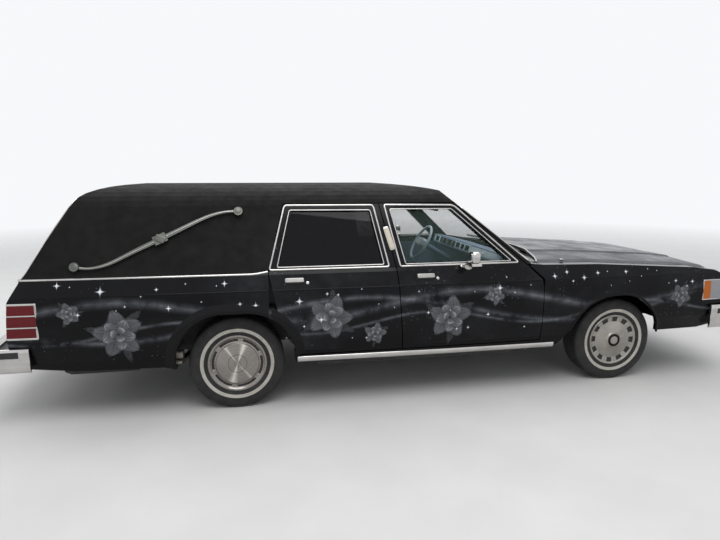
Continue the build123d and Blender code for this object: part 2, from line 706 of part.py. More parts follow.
# Wheel houses: sheets between the fender and an apron that stands on the frame's rail
APRON_Y = 446
APRON_SHEET = 8
APRON_TOP = 798
APRON_X = (FRONT_AXLE_X - 520, FRONT_AXLE_X + 400)
RAIL_TOP_Z = 480
fender_fill = body_envelope(10, 10, 0) & lower_profile(10)
with BuildPart() as front_fenders:
    add(front_skin & block(FRONT_HINGE_X - 200, NOSE_CUT_X, -FAR, FAR, 300, 980))
    add(block(FRONT_HINGE_X - 300, NOSE_CUT_X + 10, -HOOD_EDGE_Y - fender_clearance,
              HOOD_EDGE_Y + fender_clearance, 300, 1100), mode=Mode.SUBTRACT)
    for cut in (FRONT_CUT, left_prism(front_door_face(SHUT_GAP / 2))):
        add(cut, mode=Mode.SUBTRACT)
        add(cut.mirror(Plane.XZ), mode=Mode.SUBTRACT)
    add(front_arch(-FAR, FAR), mode=Mode.SUBTRACT)
    add(block(FRONT_HINGE_X - 300, SIDES_FRONT_X, -FAR, FAR, 300, 900), mode=Mode.SUBTRACT)
    for side in (-1, 1):
        add(corner_zone(side) - corner_inner, mode=Mode.SUBTRACT)
    add(ROOF_OUTER, mode=Mode.SUBTRACT)
    for side in (-1, 1):
        house_y = sorted((side * APRON_Y, side * FAR))
        shell_y = sorted((side * (APRON_Y + APRON_SHEET), side * FAR))
        house = block(*APRON_X, *house_y, RAIL_TOP_Z + SEAT_GAP, APRON_TOP)
        room_x = (APRON_X[0] + APRON_SHEET, APRON_X[1] - APRON_SHEET)
        house = house - block(*room_x, *shell_y, 0, APRON_TOP - APRON_SHEET)
        add(house & fender_fill)
save(front_fenders.part, "front_fenders")

with BuildPart() as corner_lamps:
    for side in (-1, 1):
        add((LOWER_OUTER - corner_inner) & corner_zone(side))
save(corner_lamps.part, "corner_lamps")

# Hood: a crowned section carried along the fender line
HALF_CROWN = [(400, 40), (430, 30), (770, 14), (HOOD_EDGE_Y, 0)]
HOOD_CROWN = [(-y, rise) for y, rise in reversed(HALF_CROWN)] + HALF_CROWN


def crown_run(stations, wall):
    """Crowned sheet through side-view stations of X and height."""
    with BuildPart() as sheet:
        for (x_rear, z_rear), (x_front, z_front) in zip(stations, stations[1:]):
            with BuildSketch(Plane.YZ.offset(x_rear)):
                with BuildLine():
                    upper = [(y, z_rear + rise) for y, rise in HOOD_CROWN]
                    lower = [(y, z_rear + rise - wall) for y, rise in reversed(HOOD_CROWN)]
                    Polyline(*upper, *lower, close=True)
                make_face()
            run = (x_front - x_rear, 0, z_front - z_rear)
            extrude(amount=hypot(run[0], run[2]), dir=run)
    return sheet.part


hood_stations = [(HOOD_REAR_CORNER_X, HOOD_CORNER_Z)]
hood_stations += [(FRONT_AXLE_X + x, z) for x, z in reversed(FENDER_LINE[1:3])]
hood_stations += [(HOOD_FRONT_X - SHUT_GAP, 869)]
with BuildPart() as hood_plan:
    with BuildSketch(Plane.XY.offset(700)):
        with BuildLine():
            edge = HOOD_EDGE_Y - SHUT_GAP / 2
            corner = (HOOD_REAR_CORNER_X + 2, edge)
            ThreePointArc(corner, (HOOD_REAR_MIDDLE_X, 0), (corner[0], -edge))
            Polyline((corner[0], -edge), (HOOD_FRONT_X, -edge), (HOOD_FRONT_X, edge), corner)
        make_face()
    extrude(amount=400)
with BuildPart() as hood:
    add(crown_run(hood_stations, HOOD_WALL))
    add(hood_plan.part, mode=Mode.INTERSECT)
save(hood.part, "hood")

# Cowl between the windshield and the hood
cowl_gap = SHUT_GAP
with BuildPart() as cowl_panel:
    add(block(FRONT_HINGE_X - 140, HOOD_REAR_MIDDLE_X, -820, 820, 935, 962))
    add(screen_block(0) & block(FRONT_HINGE_X - 400, FRONT_AXLE_X, -FAR, FAR, 900, 1100), mode=Mode.SUBTRACT)
    with BuildSketch(Plane.XY.offset(800)):
        with BuildLine():
            corner = (HOOD_REAR_CORNER_X - cowl_gap, 1000)
            ThreePointArc((HOOD_REAR_CORNER_X + 2 - cowl_gap, edge), (HOOD_REAR_MIDDLE_X - cowl_gap, 0),
                          (HOOD_REAR_CORNER_X + 2 - cowl_gap, -edge))
            Polyline((HOOD_REAR_CORNER_X + 2 - cowl_gap, -edge), (FRONT_AXLE_X, -edge),
                     (FRONT_AXLE_X, edge), (HOOD_REAR_CORNER_X + 2 - cowl_gap, edge))
        make_face()
    extrude(amount=400, mode=Mode.SUBTRACT)
save(cowl_panel.part, "cowl_panel")

# Nose: crowned header, side cheeks and the lower valance round the grille and lamps
NOSE_WALL = 30
GRILLE_HALF = 455
GRILLE_LOW = 615
GRILLE_HIGH = 800
LAMP_INNER_Y = 470
LAMP_OUTER_Y = 788
header_stations = [(HOOD_FRONT_X, 868), (FRONT_AXLE_X + 907, 836), (FRONT_AXLE_X + 927, 800)]
NOSE_FAR_X = FRONT_AXLE_X + 1000
header_zone = block(HOOD_FRONT_X, NOSE_FAR_X, -HOOD_EDGE_Y, HOOD_EDGE_Y, 780, 1000)
with BuildPart() as nose_panel:
    nose_skin = LOWER_OUTER - (FENDER_INNER & lower_profile(NOSE_WALL))
    add(nose_skin & block(HOOD_FRONT_X, NOSE_FAR_X, -FAR, FAR, 300, 868))
    add(crown_run(header_stations, NOSE_WALL) & header_zone)
    for side in (-1, 1):
        add(corner_zone(side) - corner_inner, mode=Mode.SUBTRACT)
        y_pair = sorted((side * LAMP_INNER_Y, side * LAMP_OUTER_Y))
        add(block(HOOD_FRONT_X - 10, NOSE_FAR_X, *y_pair, CORNER_LOW, CORNER_HIGH), mode=Mode.SUBTRACT)
    grille_gap = block(HOOD_FRONT_X - 10, NOSE_FAR_X, -GRILLE_HALF, GRILLE_HALF, GRILLE_LOW, GRILLE_HIGH)
    add(grille_gap, mode=Mode.SUBTRACT)
    nose_gap = block(HOOD_FRONT_X - 10, NOSE_FAR_X, -VALANCE_HALF, VALANCE_HALF, 300, NOSE_VALANCE_LOW)
    add(nose_gap, mode=Mode.SUBTRACT)
save(nose_panel.part, "nose_panel")

# Grille: a frame with upright bars
GRILLE_BARS = 15
GRILLE_DEPTH = 45
GRILLE_FRAME = 18
grille_front = FRONT_AXLE_X + 935
with BuildPart() as grille:
    with BuildSketch(Plane.YZ.offset(grille_front - GRILLE_DEPTH)):
        with Locations((0, (GRILLE_LOW + GRILLE_HIGH) / 2)):
            Rectangle(2 * GRILLE_HALF, GRILLE_HIGH - GRILLE_LOW)
            inner_height = GRILLE_HIGH - GRILLE_LOW - 2 * GRILLE_FRAME
            Rectangle(2 * (GRILLE_HALF - GRILLE_FRAME), inner_height, mode=Mode.SUBTRACT)
            with GridLocations(2 * GRILLE_HALF / (GRILLE_BARS + 1), 1, GRILLE_BARS, 1):
                Rectangle(9, GRILLE_HIGH - GRILLE_LOW - GRILLE_FRAME)
    extrude(amount=GRILLE_DEPTH)
save(grille.part, "grille")

# Headlamps: two rectangular lamps a side, each a lens in front of its bowl
with BuildPart() as headlamps:
    lamp_width = (LAMP_OUTER_Y - LAMP_INNER_Y) / 2
    for side in (-1, 1):
        for place in (0, 1):
            middle_y = side * (LAMP_INNER_Y + lamp_width * (place + 0.5))
            with BuildSketch(Plane.YZ.offset(FRONT_AXLE_X + 850)):
                with Locations((middle_y, (CORNER_LOW + CORNER_HIGH) / 2)):
                    RectangleRounded(lamp_width - 4, CORNER_HIGH - CORNER_LOW, 12)
            extrude(amount=75)
save(headlamps.part, "headlamps")

# Bumpers: bars that wrap round the corners on a plan outline
BUMPER_WALL = 22
BUMPER_CORNER = 70
BUMPER_CHAMFER = 8
STRIP_HEIGHT = 44
STRIP_DEPTH = 5


def bumper_plan(end_x, side_x, half, bow, inset, z_low, z_high):
    """Filled plan outline of a bumper, drawn in by an inset."""
    toward = 1 if end_x > side_x else -1
    with BuildPart() as filled:
        with BuildSketch(Plane.XY.offset(z_low)) as outline:
            with BuildLine():
                corner_x = end_x - toward * bow
                ThreePointArc((corner_x, -half), (end_x, 0), (corner_x, half))
                Polyline((corner_x, half), (side_x, half), (side_x, -half), (corner_x, -half))
            make_face()
            ordered = outline.vertices().sort_by(Axis.X)
            fillet(ordered[-2:] if toward > 0 else ordered[:2], BUMPER_CORNER)
            if inset:
                offset(amount=-inset, mode=Mode.REPLACE)
        extrude(amount=z_high - z_low)
    return filled.part


# Bumper rows: end, where its sides stop, half width, bow, low and high edge
BUMPERS = {
    "front_bumper": (FRONT_END_X, FRONT_AXLE_X + 797, 975, 55, 400, 590),
    "rear_bumper": (REAR_END_X, REAR_AXLE_X - 1270, 972, 45, 375, 534),
}
for name, (end_x, side_x, half, bow, low, high) in BUMPERS.items():
    toward = 1 if end_x > side_x else -1
    back = (side_x - toward * 10, side_x + toward * 2 * BUMPER_WALL)
    with BuildPart() as bar:
        add(bumper_plan(end_x, side_x, half, bow, 0, low, high))
        add(bumper_plan(end_x, side_x, half, bow, BUMPER_WALL, low, high), mode=Mode.SUBTRACT)
        inner_half = half - BUMPER_WALL
        add(block(min(back), max(back), -inner_half, inner_half, low, high), mode=Mode.SUBTRACT)
        chamfer(bar.edges().group_by(Axis.Z)[0] + bar.edges().group_by(Axis.Z)[-1], BUMPER_CHAMFER)
        strip_low = (low + high - STRIP_HEIGHT) / 2
        strip = (end_x, side_x, half, bow)
        groove = bumper_plan(*strip, 0, strip_low, strip_low + STRIP_HEIGHT)
        groove = groove - bumper_plan(*strip, STRIP_DEPTH, strip_low, strip_low + STRIP_HEIGHT)
        add(groove & block(*sorted((side_x + toward * 60, end_x)), -FAR, FAR, low, high), mode=Mode.SUBTRACT)
    save(bar.part, name)

# Perimeter frame: side-view stations of the rails' underside
RAIL_HEIGHT = 80
RAIL_WIDTH = 60
FRAME_LINE = [
    (REAR_END_X, 430),
    (REAR_AXLE_X + 345, 430),
    (REAR_AXLE_X + 595, 215),
    (FRONT_AXLE_X - 658, 215),
    (FRONT_AXLE_X - 408, 400),
    (FRONT_END_X, 400),
]
REAR_RAIL_Y = 500
CABIN_RAIL_Y = 640
FRONT_RAIL_Y = 400
FRAME_STEPS = [
    (REAR_END_X, REAR_AXLE_X + 600, REAR_RAIL_Y),
    (REAR_AXLE_X + 500, FRONT_AXLE_X - 600, CABIN_RAIL_Y),
    (FRONT_AXLE_X - 700, FRONT_END_X, FRONT_RAIL_Y),
]
CROSS_X = [REAR_AXLE_X - 1250, REAR_AXLE_X + 645, FRONT_AXLE_X - 720, FRONT_AXLE_X - 60]
CROSS_WIDTH = 90
FLOOR_Z = 350
RAISED_FLOOR_Z = 512
MOUNT_RADIUS = 35
mount_places = [(x, side * (CABIN_RAIL_Y + RAIL_WIDTH / 2)) for side in (-1, 1)
                for x in (REAR_AXLE_X + 760, B_LOW_X, FRONT_AXLE_X - 800)]
rear_mount_places = [(x, side * (REAR_RAIL_Y + RAIL_WIDTH / 2)) for side in (-1, 1)
                     for x in (REAR_AXLE_X - 1250, REAR_AXLE_X + 250)]

frame_band_points = FRAME_LINE + [(x, z + RAIL_HEIGHT) for x, z in reversed(FRAME_LINE)]
frame_band = side_band(frame_band_points, -FAR, FAR)
with BuildPart() as frame_plan:
    for x_low, x_high, rail_y in FRAME_STEPS:
        for side in (-1, 1):
            y_pair = sorted((side * rail_y, side * (rail_y + RAIL_WIDTH)))
            add(block(x_low, x_high, *y_pair, 100, 700))
    for side in (-1, 1):
        y_pair = sorted((side * REAR_RAIL_Y, side * (CABIN_RAIL_Y + RAIL_WIDTH)))
        add(block(REAR_AXLE_X + 500, REAR_AXLE_X + 600, *y_pair, 100, 700))
        y_pair = sorted((side * FRONT_RAIL_Y, side * (CABIN_RAIL_Y + RAIL_WIDTH)))
        add(block(FRONT_AXLE_X - 700, FRONT_AXLE_X - 600, *y_pair, 100, 700))
    for cross_x in CROSS_X:
        half = REAR_RAIL_Y if cross_x < REAR_AXLE_X else CABIN_RAIL_Y
        half = FRONT_RAIL_Y if cross_x > FRONT_AXLE_X - 100 else half
        add(block(cross_x - CROSS_WIDTH / 2, cross_x + CROSS_WIDTH / 2, -half, half, 100, 700))
bumper_space = block(REAR_END_X + 400, FRONT_END_X - 400, -FAR, FAR, 0, 900)
for name, (end_x, side_x, half, bow, low, high) in BUMPERS.items():
    bumper_space = bumper_space + bumper_plan(end_x, side_x * 0.8, half, bow, BUMPER_WALL + SEAT_GAP, 0, 900)
ENGINE_LOW = 290
with BuildPart() as chassis_frame:
    add(frame_band & frame_plan.part & bumper_space)
    cradle_x = (CROSS_X[3] - CROSS_WIDTH / 2, CROSS_X[3] + CROSS_WIDTH / 2)
    above_cradle = block(cradle_x[0] - 1, cradle_x[1] + 1, -FRONT_RAIL_Y, FRONT_RAIL_Y, ENGINE_LOW, 500)
    add(above_cradle, mode=Mode.SUBTRACT)
    add(block(*cradle_x, -FRONT_RAIL_Y, FRONT_RAIL_Y, 230, ENGINE_LOW))
    for side in (-1, 1):
        y_pair = sorted((side * (FRONT_RAIL_Y - 30), side * FRONT_RAIL_Y))
        add(block(*cradle_x, *y_pair, 230, 480))
    with BuildSketch(Plane.XY.offset(215 + RAIL_HEIGHT)):
        with Locations(*mount_places):
            Circle(MOUNT_RADIUS)
    extrude(amount=FLOOR_Z - 215 - RAIL_HEIGHT)
    with BuildSketch(Plane.XY.offset(430 + RAIL_HEIGHT)):
        with Locations(*rear_mount_places):
            Circle(MOUNT_RADIUS)
    extrude(amount=RAISED_FLOOR_Z - 430 - RAIL_HEIGHT)
save(chassis_frame.part, "chassis_frame")

# Floor, tunnel, firewall and rear wheel housings, inside the body's inner form
FLOOR_LINE = [
    (REAR_AXLE_X - 1335, RAISED_FLOOR_Z),
    (REAR_AXLE_X + 395, RAISED_FLOOR_Z),
    (REAR_AXLE_X + 560, FLOOR_Z),
    (FRONT_AXLE_X - 770, FLOOR_Z),
    (FRONT_AXLE_X - 590, 560),
    (FRONT_AXLE_X - 590, 935),
]
TUNNEL_HALF = 170
TUNNEL_TOP = 520
floor_top = [(x, z + FLOOR_SHEET) for x, z in FLOOR_LINE[:4]]
floor_top += [(x - FLOOR_SHEET, z) for x, z in FLOOR_LINE[4:]]
floor_sheet = side_band(FLOOR_LINE + list(reversed(floor_top)), -FAR, FAR)
with BuildPart() as housings:
    add(wheel_room(HOUSING_RADIUS))
    between = block(REAR_AXLE_X - 500, REAR_AXLE_X + 500, -HOUSING_INNER_Y, HOUSING_INNER_Y, 0, 900)
    add(between, mode=Mode.SUBTRACT)
with BuildPart() as housing_shells:
    add(wheel_room(HOUSING_RADIUS + FLOOR_SHEET))
    inner_y = HOUSING_INNER_Y - FLOOR_SHEET
    add(block(REAR_AXLE_X - 500, REAR_AXLE_X + 500, -inner_y, inner_y, 0, 900), mode=Mode.SUBTRACT)
    add(block(REAR_AXLE_X - 500, REAR_AXLE_X + 500, -FAR, FAR, 0, HOUSING_LOW), mode=Mode.SUBTRACT)
tunnel_back_x = REAR_AXLE_X + 400
tunnel_front_x = FRONT_AXLE_X - 590
with BuildPart() as floor_pan:
    add(floor_sheet)
    add(housing_shells.part)
    tunnel_outer = TUNNEL_HALF + FLOOR_SHEET
    add(block(tunnel_back_x, tunnel_front_x, -tunnel_outer, tunnel_outer, FLOOR_Z, TUNNEL_TOP + FLOOR_SHEET))
    add(housings.part, mode=Mode.SUBTRACT)
    tunnel_room = block(tunnel_back_x - 20, tunnel_front_x + 20, -TUNNEL_HALF, TUNNEL_HALF, 0, TUNNEL_TOP)
    add(tunnel_room, mode=Mode.SUBTRACT)
    rear_space = QUARTER_INNER & block(REAR_END_X, REAR_AXLE_X + ARCH_HALF - 30, -FAR, FAR, 200, 1600)
    add(FRAME_INNER + rear_space, mode=Mode.INTERSECT)
save(floor_pan.part, "floor_pan")

# Engine and gearbox: one plain block, seated on the engine crossmember
ENGINE_REAR_X = FRONT_AXLE_X - 480
with BuildPart() as engine:
    add(block(ENGINE_REAR_X, FRONT_AXLE_X + 240, -280, 280, ENGINE_LOW, 800))
    add(block(FRONT_AXLE_X - 1110, ENGINE_REAR_X, -120, 120, 305, 500))
save(engine.part, "engine")

# Radiator on the front rails
with BuildPart() as radiator:
    add(block(FRONT_AXLE_X + 770, FRONT_AXLE_X + 815, -440, 440, 480, 800))
save(radiator.part, "radiator")

# Rear axle with its drive shaft, and leaf springs up to the rails
AXLE_TUBE_RADIUS = 40
SHAFT_RADIUS = 38
SHAFT_Z = 345
SHAFT_END_X = FRONT_AXLE_X - 1110
SPRING_HALF_WIDTH = 30
with BuildPart() as rear_axle:
    with BuildSketch(Plane.XZ.offset(-(HALF_TRACK - 60))):
        with Locations((REAR_AXLE_X, AXLE_HEIGHT)):
            Circle(AXLE_TUBE_RADIUS)
    extrude(amount=2 * (HALF_TRACK - 60))
    with BuildSketch(Plane.XZ.offset(-(HALF_TRACK + 40))):
        with Locations((REAR_AXLE_X, AXLE_HEIGHT)):
            Circle(SPINDLE_RADIUS)
    extrude(amount=2 * (HALF_TRACK + 40))
    with Locations((REAR_AXLE_X, 0, AXLE_HEIGHT)):
        Sphere(125)
    with BuildSketch(Plane.YZ.offset(REAR_AXLE_X + 60)):
        with Locations((0, SHAFT_Z)):
            Circle(SHAFT_RADIUS)
    extrude(amount=SHAFT_END_X - REAR_AXLE_X - 60)
    for side in (-1, 1):
        y_mid = side * (REAR_RAIL_Y + RAIL_WIDTH / 2)
        leaf = side_band(
            [
                (REAR_AXLE_X - 620, 430),
                (REAR_AXLE_X - 620, 390),
                (REAR_AXLE_X - 60, AXLE_HEIGHT - AXLE_TUBE_RADIUS - 5),
                (REAR_AXLE_X + 60, AXLE_HEIGHT - AXLE_TUBE_RADIUS - 5),
                (REAR_AXLE_X + 340, 395),
                (REAR_AXLE_X + 340, 430),
                (REAR_AXLE_X + 300, 430),
                (REAR_AXLE_X + 60, AXLE_HEIGHT),
                (REAR_AXLE_X - 60, AXLE_HEIGHT),
                (REAR_AXLE_X - 580, 430),
            ],
            y_mid - SPRING_HALF_WIDTH,
            y_mid + SPRING_HALF_WIDTH,
        )
        add(leaf)
save(rear_axle.part, "rear_axle")

# Front suspension arms and coil springs, and the knuckles that they carry
KINGPIN_Y = HALF_TRACK - 75
KINGPIN_RADIUS = 22
KNUCKLE_HALF_HEIGHT = 110
ARM_THICKNESS = 26
ARM_GAP = 0.3
with BuildPart() as front_suspension:
    for side in (-1, 1):
        inner = side * (FRONT_RAIL_Y + RAIL_WIDTH)
        knuckle_reach = KNUCKLE_HALF_HEIGHT + ARM_GAP
        for low in (AXLE_HEIGHT - knuckle_reach - ARM_THICKNESS, AXLE_HEIGHT + knuckle_reach):
            with BuildSketch(Plane.XY.offset(low)):
                with BuildLine():
                    Polyline(
                        (FRONT_AXLE_X - 45, inner),
                        (FRONT_AXLE_X + 45, inner),
                        (FRONT_AXLE_X + 25, side * KINGPIN_Y),
                        (FRONT_AXLE_X - 25, side * KINGPIN_Y),
                        close=True,
                    )
                make_face()
                with Locations((FRONT_AXLE_X, side * KINGPIN_Y)):
                    Circle(25)
            extrude(amount=ARM_THICKNESS)
        arm_low = AXLE_HEIGHT - knuckle_reach - ARM_THICKNESS
        hanger = sorted((inner, side * (FRONT_RAIL_Y + RAIL_WIDTH + 30)))
        add(block(FRONT_AXLE_X - 45, FRONT_AXLE_X + 45, *hanger, arm_low, 480))
save(front_suspension.part, "front_suspension")

for name, side in (("left", 1), ("right", -1)):
    spindle_end = HALF_TRACK + 40
    with BuildPart() as knuckle:
        with BuildSketch(Plane.XY.offset(AXLE_HEIGHT - KNUCKLE_HALF_HEIGHT)):
            with Locations((FRONT_AXLE_X, side * KINGPIN_Y)):
                Circle(KINGPIN_RADIUS)
        extrude(amount=2 * KNUCKLE_HALF_HEIGHT)
        with BuildSketch(Plane.XZ.offset(-side * KINGPIN_Y)):
            with Locations((FRONT_AXLE_X, AXLE_HEIGHT)):
                Circle(SPINDLE_RADIUS)
        extrude(amount=spindle_end - KINGPIN_Y, dir=(0, side, 0))
    save(knuckle.part, f"knuckle_{name}")

# Road wheels. Profiles are radius and distance outward from the wheel's middle
TYRE_PROFILE = [
    (BEAD_RADIUS + SEAT_GAP, -83),
    (FLANGE_RADIUS + 1, -85),
    (FLANGE_RADIUS + 1, -94),
    (262, -TYRE_HALF_WIDTH),
    (TYRE_RADIUS - 9, -97),
    (TYRE_RADIUS, -78),
    (TYRE_RADIUS, 78),
    (TYRE_RADIUS - 9, 97),
    (262, TYRE_HALF_WIDTH),
    (FLANGE_RADIUS + 1, 94),
    (FLANGE_RADIUS + 1, 85),
    (BEAD_RADIUS + SEAT_GAP, 83),
]
HUB_RADIUS = 75
RIM_PROFILE = [
    (FLANGE_RADIUS, -FLANGE_HALF_WIDTH),
    (FLANGE_RADIUS, -86),
    (BEAD_RADIUS, -84),
    (BEAD_RADIUS, -60),
    (172, -40),
    (172, 30),
    (BEAD_RADIUS, 60),
    (BEAD_RADIUS, 84),
    (FLANGE_RADIUS, 86),
    (FLANGE_RADIUS, FLANGE_HALF_WIDTH),
    (196, FLANGE_HALF_WIDTH),
    (184, 84),
    (184, 60),
    (166, 32),
    (150, 22),
    (HUB_RADIUS, 45),
    (SPINDLE_RADIUS + SPINDLE_CLEARANCE, 45),
    (SPINDLE_RADIUS + SPINDLE_CLEARANCE, 12),
    (HUB_RADIUS, 12),
    (HUB_RADIUS, 38),
    (150, 15),
    (166, 15),
    (166, -38),
    (184, -62),
    (184, -84),
    (196, -FLANGE_HALF_WIDTH),
]
COVER_SEAT = FLANGE_HALF_WIDTH + SEAT_GAP
FRONT_COVER = [
    (0, COVER_SEAT + 18),
    (42, COVER_SEAT + 18),
    (44, COVER_SEAT + 4),
    (150, COVER_SEAT - 12),
    (190, COVER_SEAT),
    (FLANGE_RADIUS, COVER_SEAT),
    (FLANGE_RADIUS - 2, COVER_SEAT + 5),
    (188, COVER_SEAT + 5),
    (150, COVER_SEAT - 7),
    (60, COVER_SEAT + 10),
    (50, COVER_SEAT + 22),
    (0, COVER_SEAT + 24),
]
REAR_COVER = [
    (0, COVER_SEAT + 2),
    (118, COVER_SEAT - 3),
    (128, COVER_SEAT - 12),
    (165, COVER_SEAT - 12),
    (190, COVER_SEAT),
    (FLANGE_RADIUS, COVER_SEAT),
    (FLANGE_RADIUS - 2, COVER_SEAT + 5),
    (186, COVER_SEAT + 5),
    (163, COVER_SEAT - 7),
    (132, COVER_SEAT - 7),
    (122, COVER_SEAT + 3),
    (0, COVER_SEAT + 9),
]


def revolved(profile, axle_x, side):
    """Ring or disc turned about an axle from its radius and outward places."""
    with BuildPart() as ring:
        with BuildSketch(Plane.XY):
            with BuildLine():
                Polyline(*[(axle_x + r, side * (HALF_TRACK + out)) for r, out in profile], close=True)
            make_face()
        revolve(axis=Axis((axle_x, 0, 0), (0, 1, 0)))
    return ring.part.moved(Location((0, 0, AXLE_HEIGHT)))


VENTS = 16
VENT_RADIUS = 172
SLOTS = 7
SLOT_RADII = (132.5, 146.5)


def cover_openings(end, axle_x, side):
    """Vents of a front cover, or arc slots of a rear one, cut through its sheet."""
    with BuildPart() as openings:
        with BuildSketch(Plane.XZ.offset(-side * (HALF_TRACK + COVER_SEAT - 25))):
            with Locations((axle_x, AXLE_HEIGHT)):
                if end == "front":
                    with PolarLocations(VENT_RADIUS, VENTS, start_angle=180 / VENTS):
                        Rectangle(18, 34)
                else:
                    Circle(SLOT_RADII[1])
                    Circle(SLOT_RADII[0], mode=Mode.SUBTRACT)
                    with PolarLocations(sum(SLOT_RADII) / 2, SLOTS, start_angle=90):
                        Rectangle(30, 24, mode=Mode.SUBTRACT)
        extrude(amount=60, dir=(0, side, 0))
    return openings.part


for end, axle_x, cover in (("front", FRONT_AXLE_X, FRONT_COVER), ("rear", REAR_AXLE_X, REAR_COVER)):
    for name, side in (("left", 1), ("right", -1)):
        with BuildPart() as tyre:
            add(revolved(TYRE_PROFILE, axle_x, side))
        save(tyre.part, f"tyre_{end}_{name}")
        with BuildPart() as wheel:
            add(revolved(RIM_PROFILE, axle_x, side))
            add(revolved(cover, axle_x, side) - cover_openings(end, axle_x, side))
        save(wheel.part, f"wheel_{end}_{name}")

# Exhaust: a pipe from the engine to a silencer, over the axle and out behind the wheel
PIPE_RADIUS = 25
PIPE_ROUTE = [
    (FRONT_AXLE_X - 300, -280, 420),
    (FRONT_AXLE_X - 300, -340, 420),
    (FRONT_AXLE_X - 360, -340, 187),
    (REAR_AXLE_X + 520, -340, 187),
    (REAR_AXLE_X + 330, -340, 405),
    (REAR_AXLE_X - 150, -340, 405),
    (REAR_AXLE_X - 330, -360, 300),
    (REAR_AXLE_X - 400, -620, 285),
    (REAR_AXLE_X - 440, -860, 330),
]
with BuildPart() as exhaust:
    with BuildLine() as route:
        FilletPolyline(*PIPE_ROUTE, radius=[22, 45, 90, 90, 60, 50, 60])
    with BuildSketch(Plane(origin=PIPE_ROUTE[0], z_dir=(0, -1, 0))):
        Circle(PIPE_RADIUS)
    sweep(path=route.line)
    with BuildSketch(Plane.YZ.offset(REAR_AXLE_X + 750)):
        with Locations((-340, 265)):
            SlotOverall(260, 130)
    extrude(amount=520)
save(exhaust.part, "exhaust")

# Fuel tank under the load floor, hung from the rails
with BuildPart() as fuel_tank:
    add(block(REAR_AXLE_X - 1130, REAR_AXLE_X - 640, -800, 800, 280, 430))
    chamfer(fuel_tank.edges().group_by(Axis.Z)[0], 30)
save(fuel_tank.part, "fuel_tank")

# Dashboard with the steering column, the steering wheel and the bench seat
DASH_REAR_X = FRONT_AXLE_X - 935
WHEEL_HUB = (FRONT_AXLE_X - 1201, 380, 979)
WHEEL_RING_RADIUS = 168
WHEEL_RING_SECTION = 12
HUB_DEPTH = 50
COLUMN_SLOPE = 30
COLUMN_RADIUS = 24
COLUMN_LENGTH = 350
column_run = (cos(radians(COLUMN_SLOPE)), 0, -sin(radians(COLUMN_SLOPE)))
column_plane = Plane(origin=WHEEL_HUB, x_dir=(0, 1, 0), z_dir=column_run)
with BuildPart() as dashboard:
    dash = [
        (DASH_REAR_X + 17, 1015),
        (DASH_REAR_X - 8, 935),
        (DASH_REAR_X + 27, 905),
        (DASH_REAR_X + 42, 760),
        (DASH_REAR_X + 127, 700),
        (FRONT_AXLE_X - 598, 700),
        (FRONT_AXLE_X - 598, 905),
        (DASH_REAR_X + 227, 975),
    ]
    add(side_band(dash, -800, 800))
    add(screen_block(60) & FRAME_INNER, mode=Mode.INTERSECT)
    with BuildSketch(column_plane.offset(HUB_DEPTH + 1)):
        Circle(COLUMN_RADIUS)
    extrude(amount=COLUMN_LENGTH - HUB_DEPTH)
save(dashboard.part, "dashboard")

with BuildPart(column_plane) as steering_wheel:
    Torus(WHEEL_RING_RADIUS, WHEEL_RING_SECTION)
    Cylinder(45, HUB_DEPTH, align=(Align.CENTER, Align.CENTER, Align.MIN))
    Box(2 * WHEEL_RING_RADIUS - 10, 40, 12)
save(steering_wheel.part, "steering_wheel")

SEAT_X = B_LOW_X + 20
SEAT_HALF = 660
with BuildPart() as front_seat:
    seat = [
        (SEAT_X - 60, FLOOR_Z + FLOOR_SHEET + 20),
        (SEAT_X + 420, FLOOR_Z + FLOOR_SHEET + 20),
        (SEAT_X + 450, 570),
        (SEAT_X + 430, 600),
        (SEAT_X - 20, 570),
        (SEAT_X - 150, 1060),
        (SEAT_X - 250, 1060),
        (SEAT_X - 160, 560),
    ]
    add(side_band(seat, -SEAT_HALF, SEAT_HALF))
    over_tunnel = block(SEAT_X - 300, SEAT_X + 500, -TUNNEL_HALF - 20, TUNNEL_HALF + 20, 0, TUNNEL_TOP + 25)
    add(over_tunnel, mode=Mode.SUBTRACT)
    floor_top_z = FLOOR_Z + FLOOR_SHEET
    for y in (-450, 450):
        add(block(SEAT_X - 40, SEAT_X + 400, y - 30, y + 30, floor_top_z, floor_top_z + 20))
save(front_seat.part, "front_seat")

# Deck that the casket rolls on, on legs to the raised floor
DECK_Z = 640
DECK_SHEET = 20
DECK_HALF = 560
DECK_FRONT_X = B_LOW_X - 260
DECK_REAR_X = REAR_AXLE_X - 1290
with BuildPart() as casket_deck:
    add(block(DECK_REAR_X, DECK_FRONT_X, -DECK_HALF, DECK_HALF, DECK_Z - DECK_SHEET, DECK_Z))
    raised_top_z = RAISED_FLOOR_Z + FLOOR_SHEET
    for y in (-DECK_HALF + 20, 0, DECK_HALF - 20):
        add(block(DECK_REAR_X, REAR_AXLE_X + 380, y - 20, y + 20, raised_top_z, DECK_Z - DECK_SHEET))
    for y in (-DECK_HALF + 20, DECK_HALF - 20):
        add(block(DECK_FRONT_X - 40, DECK_FRONT_X, y - 20, y + 20, floor_top_z, DECK_Z - DECK_SHEET))
save(casket_deck.part, "casket_deck")

